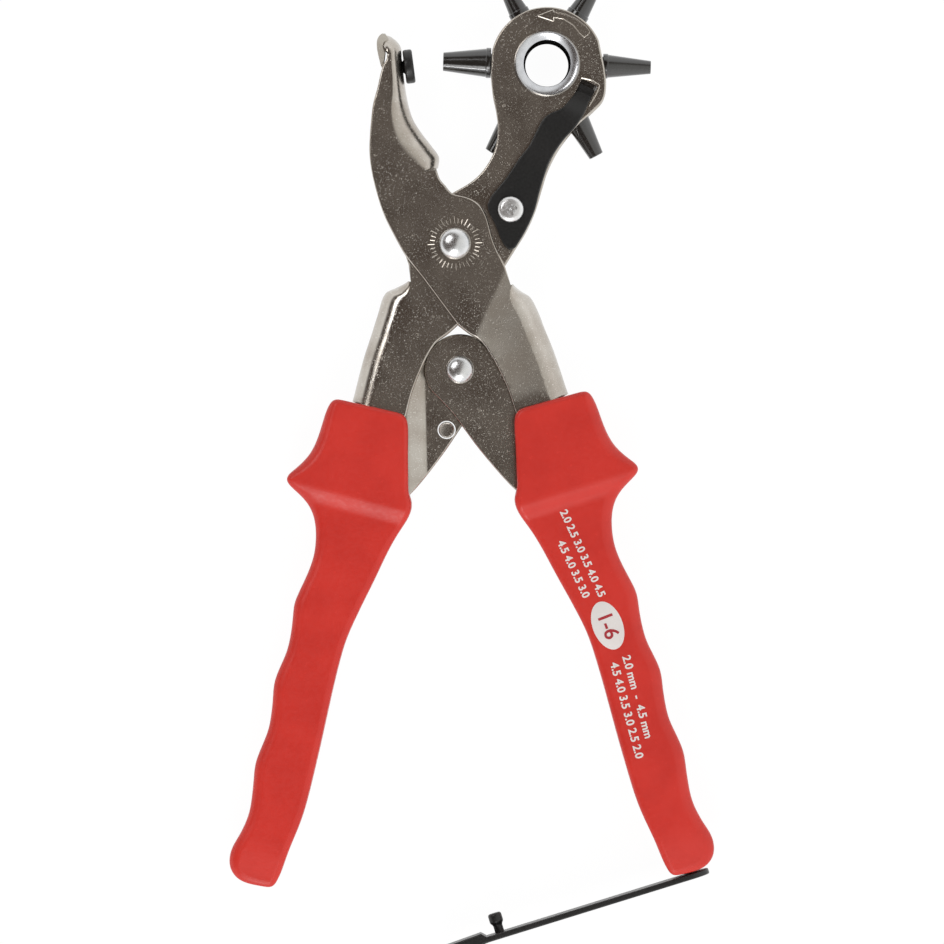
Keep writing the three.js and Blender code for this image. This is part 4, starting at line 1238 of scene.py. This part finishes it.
def grip(end_depth):
    """Drawn for the right side, with a pocket for the jaw's tail, a slot for the tang and an end hole."""
    rows = [
        *grip_side(GRIP_CHEEK, 4), *grip_side(GRIP_OUTER, 6)[:-1], *grip_side(GRIP_FINGERS, 6),
        *grip_side(GRIP_INNER, 6),
    ]
    rows.reverse()
    rows = evened(rows, GRIP_SPACING, 5)
    outline = [grip_line.at(x, y) for x, y, _ in rows]
    body = slab(outline, -SHIELD_OUT, SHIELD_OUT, [z for _, _, z in rows], 8)
    along = grip_line.along.to_3d()
    start = grip_line.start.x * along.x + grip_line.start.y * along.y
    places = [SLOPE_START - 1.5 + 0.53 * k for k in range(13)]
    places += [GRIP_LENGTH - END_FACET * 1.3 + 1.1 * k for k in range(12)]
    slice_at(body, [start + place for place in places], along)
    relevel(body, lambda co: co.z * grip_level(co.x * along.x + co.y * along.y - start) / SHIELD_OUT)
    pocket_end = TAIL_EAR + POCKET_SPARE
    top, bottom = (side * GRIP_WIDTH - POCKET_SHELL for side in POCKET_WALL)
    pocket = prism([
        grip_line.at(-POCKET_FAR, -POCKET_FAR), grip_line.at(pocket_end, -POCKET_FAR),
        grip_line.at(pocket_end, bottom), grip_line.at(0, top), grip_line.at(-POCKET_FAR, top),
    ], -SHIELD_IN, SHIELD_IN)
    tang = []
    for part in handle_parts(TANG_HALF):
        for row in part:
            place = row[0] if isinstance(row, tuple) else Vector(row).xy
            if not tang or (place - tang[-1]).length > TANG_SPACING:
                tang.append(place)
    grown = []
    for i, place in enumerate(tang):
        way = (tang[(i + 1) % len(tang)] - tang[i - 1]).normalized()
        grown.append(place + Vector((way.y, -way.x)) * GAP)
    cavity = prism(grown, -TANG_IN, TANG_IN)
    hole = pin(PEG_RADIUS + GAP, -end_depth - GAP, END_HOLE_OUT)
    hole = moved(hole, standing(grip_way, grip_line.at(GRIP_LENGTH, 0)))
    return less(body, pocket, cavity, hole)


right_grip = hung(grip(PEG_LENGTH), RIGHT_LINK)
piece("right_grip_cover", right_grip, "right_handle", RED_PLASTIC, ["right_grip"], 40)
left_grip = hung(moved(grip(STUD_LENGTH), MIRROR), LEFT_LINK)
piece("left_grip_cover", left_grip, "left_handle", RED_PLASTIC, ["left_grip"], 40)


# Plain printed numbers: words, cap height, run and side of their middle, and turn

PRINTED = [
    ("2.0 2.5 3.0 3.5 4.0 4.5", 2.1, 37.2, -2.7, 7.3), ("4.5 4.0 3.5 3.0", 2.1, 40.6, -6.4, 7.8),
    ("2.0 mm  -  4.5 mm", 2.2, 79.4, 0.0, -1.6), ("4.5 4.0 3.5 3.0 2.5 2.0", 2.2, 82.1, -3.9, -2),
]
OVAL = (58.2, -1.95, 6.9, 4.15)
OVAL_TURN = 4
CAP_SHARE = 0.7
PRINT_LEVEL = GRIP_OUT + 0.03
COUNT_LEVEL = GRIP_OUT + 0.07


def words_body(words, height, run, side, turn, level):
    """Flat raised figures, read along the grip."""
    curve = bpy.data.curves.new("words", "FONT")
    curve.body = words
    curve.align_x = "CENTER"
    curve.align_y = "CENTER"
    curve.size = height / CAP_SHARE
    curve.offset = 0.08
    curve.extrude = 0.03
    curve.resolution_u = 4
    made = bpy.data.objects.new("words", curve)
    bpy.context.scene.collection.objects.link(made)
    graph = bpy.context.evaluated_depsgraph_get()
    bm = bmesh.new()
    bm.from_mesh(made.evaluated_get(graph).to_mesh())
    bpy.data.objects.remove(made)
    bpy.data.curves.remove(curve)
    bmesh.ops.remove_doubles(bm, verts=bm.verts, dist=TINY)
    place = grip_line.at(run, side)
    angle = grip_line.angle + math.radians(turn)
    return moved(outwards(bm), Matrix.Translation((place.x, place.y, level)) @ Matrix.Rotation(angle, 4, "Z"))


def oval():
    run, side, long, wide = OVAL
    turned = grip_line.at(run + 1, side + math.tan(math.radians(OVAL_TURN)))
    line = Line(grip_line.at(run, side), turned)
    outline = [line.at(long * math.cos(a), wide * math.sin(a)) for a in (math.pi * k / 32 for k in range(64))]
    return slab(outline, GRIP_OUT - 0.02, GRIP_OUT + 0.05, 0.02, 2)


print_body = hung(joined([oval(), *[words_body(*row, PRINT_LEVEL) for row in PRINTED]]), RIGHT_LINK)
piece("printed_numbers", print_body, "right_handle", PRINT, (), 32, False)
count_body = hung(words_body("1-6", 4.1, *OVAL[:2], OVAL_TURN, COUNT_LEVEL), RIGHT_LINK)
piece("printed_count", count_body, "right_handle", RED_PRINT, (), 32, False)


# Closing strap

STRAP_HALF = 5
STRAP_HEEL = 4.8
STUD_REACH = 55.4
TAB_START = STUD_REACH + 3.8
TAB_END = TAB_START + 16
TAB_THICKNESS = 3.4
TAB_RISE = 1.3
STRAP_THICKNESS = 1.6
STRAP_ROUND = 0.35
PEG_EDGE = [(0, -PEG_LENGTH), (PEG_RADIUS, -PEG_LENGTH), (PEG_RADIUS, 0.8), (0, 0.8)]
STUD_EDGE = [
    (0, -STUD_LENGTH), (PEG_RADIUS, -STUD_LENGTH), (PEG_RADIUS, -2.9), (1.3, -2.2), (1.3, 0.8), (0, 0.8),
]


def latch_strap():
    """Drawn flat, with its length along X and its thickness along Z, then stood along the grip's end."""
    near = GRIP_LENGTH + GAP
    right = arc(Vector((TAB_END - STRAP_HALF, 0)), STRAP_HALF, -math.pi / 2, math.pi / 2, 24)
    left = arc(Vector((-STRAP_HEEL + STRAP_HALF, 0)), STRAP_HALF, math.pi / 2, math.pi * 1.5, 24)
    body = slab(right + left, 0, STRAP_THICKNESS, STRAP_ROUND, 4)
    slice_at(body, [TAB_START + run for run in (0, TAB_RISE / 2, TAB_RISE, 6)], Vector((1, 0, 0)))
    for v in body.verts:
        run = v.co.x - TAB_START
        rise = TAB_RISE * clamped(run / TAB_RISE)
        rise -= TAB_RISE / 2 * clamped((run - TAB_RISE) / (TAB_END - TAB_START - TAB_RISE))
        swell = (TAB_THICKNESS - STRAP_THICKNESS) * clamped(run / (TAB_END - TAB_START))
        share = v.co.z / STRAP_THICKNESS
        place = grip_line.at(near - rise + (STRAP_THICKNESS + rise + swell) * share, -v.co.x)
        v.co = (place.x, place.y, v.co.y)
    outwards(body)
    peg = moved(lathe(soften(PEG_EDGE, 0.4), 48), standing(grip_way, grip_line.at(near, 0)))
    stud = moved(lathe(soften(STUD_EDGE, 0.8, 5), 48), standing(grip_way, grip_line.at(near, -STUD_REACH)))
    return hung(plus(body, peg, stud), RIGHT_LINK)


piece("closing_strap", latch_strap(), "latch_strap", BLACK_PLASTIC, ["latch_strap"])


# Return spring

WIRE = 1.5
BUSH_RADIUS = 4.6
LEG_RUN = 27
LEG_SPARE = 0.5
LEG_STEPS = 8
COIL_STEPS = 150


def return_spring():
    radius = BUSH_RADIUS + GAP + WIRE / 2
    height = INNER_JAW - SHEET - GAP - WIRE / 2
    inside = TAIL_WEB[0][1] * TAIL_WIDTH - SHEET - WIRE / 2 - LEG_SPARE
    end = tail_line.at(LEG_RUN, inside - TAIL_BEND / 3)
    leave = math.atan2(end.y, end.x) - math.acos(radius / end.length)
    start = math.pi - leave
    sweep = leave - start + 6 * math.pi
    coil = []
    for i in range(COIL_STEPS + 1):
        spot = heading(start + sweep * i / COIL_STEPS) * radius
        coil.append(Vector((spot.x, spot.y, height * (2 * i / COIL_STEPS - 1))))
    low, high = Vector((-end.x, end.y, -height)), Vector((end.x, end.y, height))
    first = [low.lerp(coil[0], k / LEG_STEPS) for k in range(LEG_STEPS)]
    last = [coil[-1].lerp(high, (k + 1) / LEG_STEPS) for k in range(LEG_STEPS)]
    return tube([*first, *coil, *last], WIRE / 2, 20)


spring = return_spring()
piece("opening_spring", spring, "anvil_jaw", SPRING_STEEL, ["return_spring"], 60, False)

for name in ("main_pivot_bush", "right_link_pin", "left_link_pin", "index_nut"):
    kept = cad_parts[name]
    kept.data.materials.clear()
    kept.data.materials.append(ZINC)


# Camera, floor and light

PHOTO_SHIFT = Vector((2.5, -63.1))
camera_data = bpy.data.cameras.new("camera")
camera_data.lens = 300
camera_data.sensor_width = 36
camera_data.clip_start = 0.1
camera_data.clip_end = 20
camera = bpy.data.objects.new("camera", camera_data)
camera.location = (PHOTO_SHIFT.x * MM, PHOTO_SHIFT.y * MM, (MID + CAMERA_HEIGHT) * MM)
camera.rotation_euler = (0, 0, math.radians(-2))
bpy.context.scene.collection.objects.link(camera)
bpy.context.scene.camera = camera

FLOOR_HALF = 4
FLOOR_DROP = 0.0001
FLOOR_TONE = 0.86
FLOOR_GLOW = 1.03
FLOOR_GLOW_SHARE = 0.94


def floor():
    """Mostly glows for the camera and in reflections, so that it is as pale as in the photo; else plain."""
    bm = bmesh.new()
    bmesh.ops.create_grid(bm, x_segments=8, y_segments=8, size=FLOOR_HALF)
    made = loose_object(bm, "floor")
    made.location.z = -FLOOR_DROP
    material = bpy.data.materials.new("floor")
    material.use_nodes = True
    tree = material.node_tree
    tree.nodes.clear()
    plain = add(tree, "BsdfDiffuse", Color=colour(FLOOR_TONE, FLOOR_TONE, FLOOR_TONE)).outputs[0]
    glow = add(tree, "Emission", Color=colour(1, 1, 1), Strength=FLOOR_GLOW).outputs[0]
    path = add(tree, "LightPath").outputs
    seen = path["Is Camera Ray"]
    for ray in ("Is Glossy Ray", "Is Transmission Ray"):
        seen = maths(tree, "MAXIMUM", seen, path[ray])
    share = maths(tree, "MULTIPLY", seen, FLOOR_GLOW_SHARE)
    mixed = add(tree, "MixShader", n0=share, n1=plain, n2=glow).outputs[0]
    add(tree, "OutputMaterial", Surface=mixed)
    made.data.materials.append(material)


PANEL_EDGE = math.radians(-20)
ZENITH = (0.066, 0.045, 0.034)
PALE_TOP = (0.85, 0.845, 0.82)
PALE_LOW = (1.1, 1.1, 1.1)


def studio():
    """A light tent, dark overhead, with a pale panel on the right and a bright horizon, lower on the left."""
    world = bpy.data.worlds.new("studio")
    bpy.context.scene.world = world
    world.use_nodes = True
    tree = world.node_tree
    tree.nodes.clear()
    way = add(tree, "TexCoord").outputs["Generated"]
    height = add(tree, "SeparateXYZ", Vector=way).outputs[2]
    right = (math.cos(PANEL_EDGE), math.sin(PANEL_EDGE), 0)
    aside = add(tree, "VectorMath", {"operation": "DOT_PRODUCT"}, n0=way, n1=right).outputs["Value"]
    panel = window(tree, aside, 0.07, 0.16)
    lifted = maths(tree, "MULTIPLY_ADD", maths(tree, "MINIMUM", aside, 0.0), -0.45, height)
    share = maths(tree, "MAXIMUM", panel, window(tree, lifted, 0.82, 0.6))
    pale = blend_colours(tree, window(tree, height, 0.95, 0.2), colour(*PALE_TOP), colour(*PALE_LOW))
    tone = blend_colours(tree, share, colour(*ZENITH), pale)
    sky = add(tree, "Background", Color=tone, Strength=1).outputs[0]
    add(tree, "OutputWorld", Surface=sky)


LAMP_DISTANCE = 1.3
LIT_POINT = Vector((0.002, -0.06, 0))


def softbox(name, azimuth, tilt, width, height, radiance):
    """An area lamp that looks at the object; tilt is from overhead, azimuth from +X, both in degrees."""
    lamp = bpy.data.lights.new(name, "AREA")
    lamp.shape = "RECTANGLE"
    lamp.size = width
    lamp.size_y = height
    lamp.energy = radiance * math.pi * width * height
    made = bpy.data.objects.new(name, lamp)
    turn, lean = math.radians(azimuth), math.radians(tilt)
    away = Vector((math.cos(turn) * math.sin(lean), math.sin(turn) * math.sin(lean), math.cos(lean)))
    made.location = LIT_POINT + away * LAMP_DISTANCE
    made.rotation_euler = away.to_track_quat("Z", "Y").to_euler()
    bpy.context.scene.collection.objects.link(made)


floor()
studio()
softbox("softbox_left", 137, 38, 0.62, 0.4, 4.5)
softbox("softbox_bottom", -100, 38, 0.5, 0.4, 4.5)
softbox("softbox_low", -106, 58, 0.34, 0.16, 14)

scene = bpy.context.scene
scene.view_settings.view_transform = "Standard"
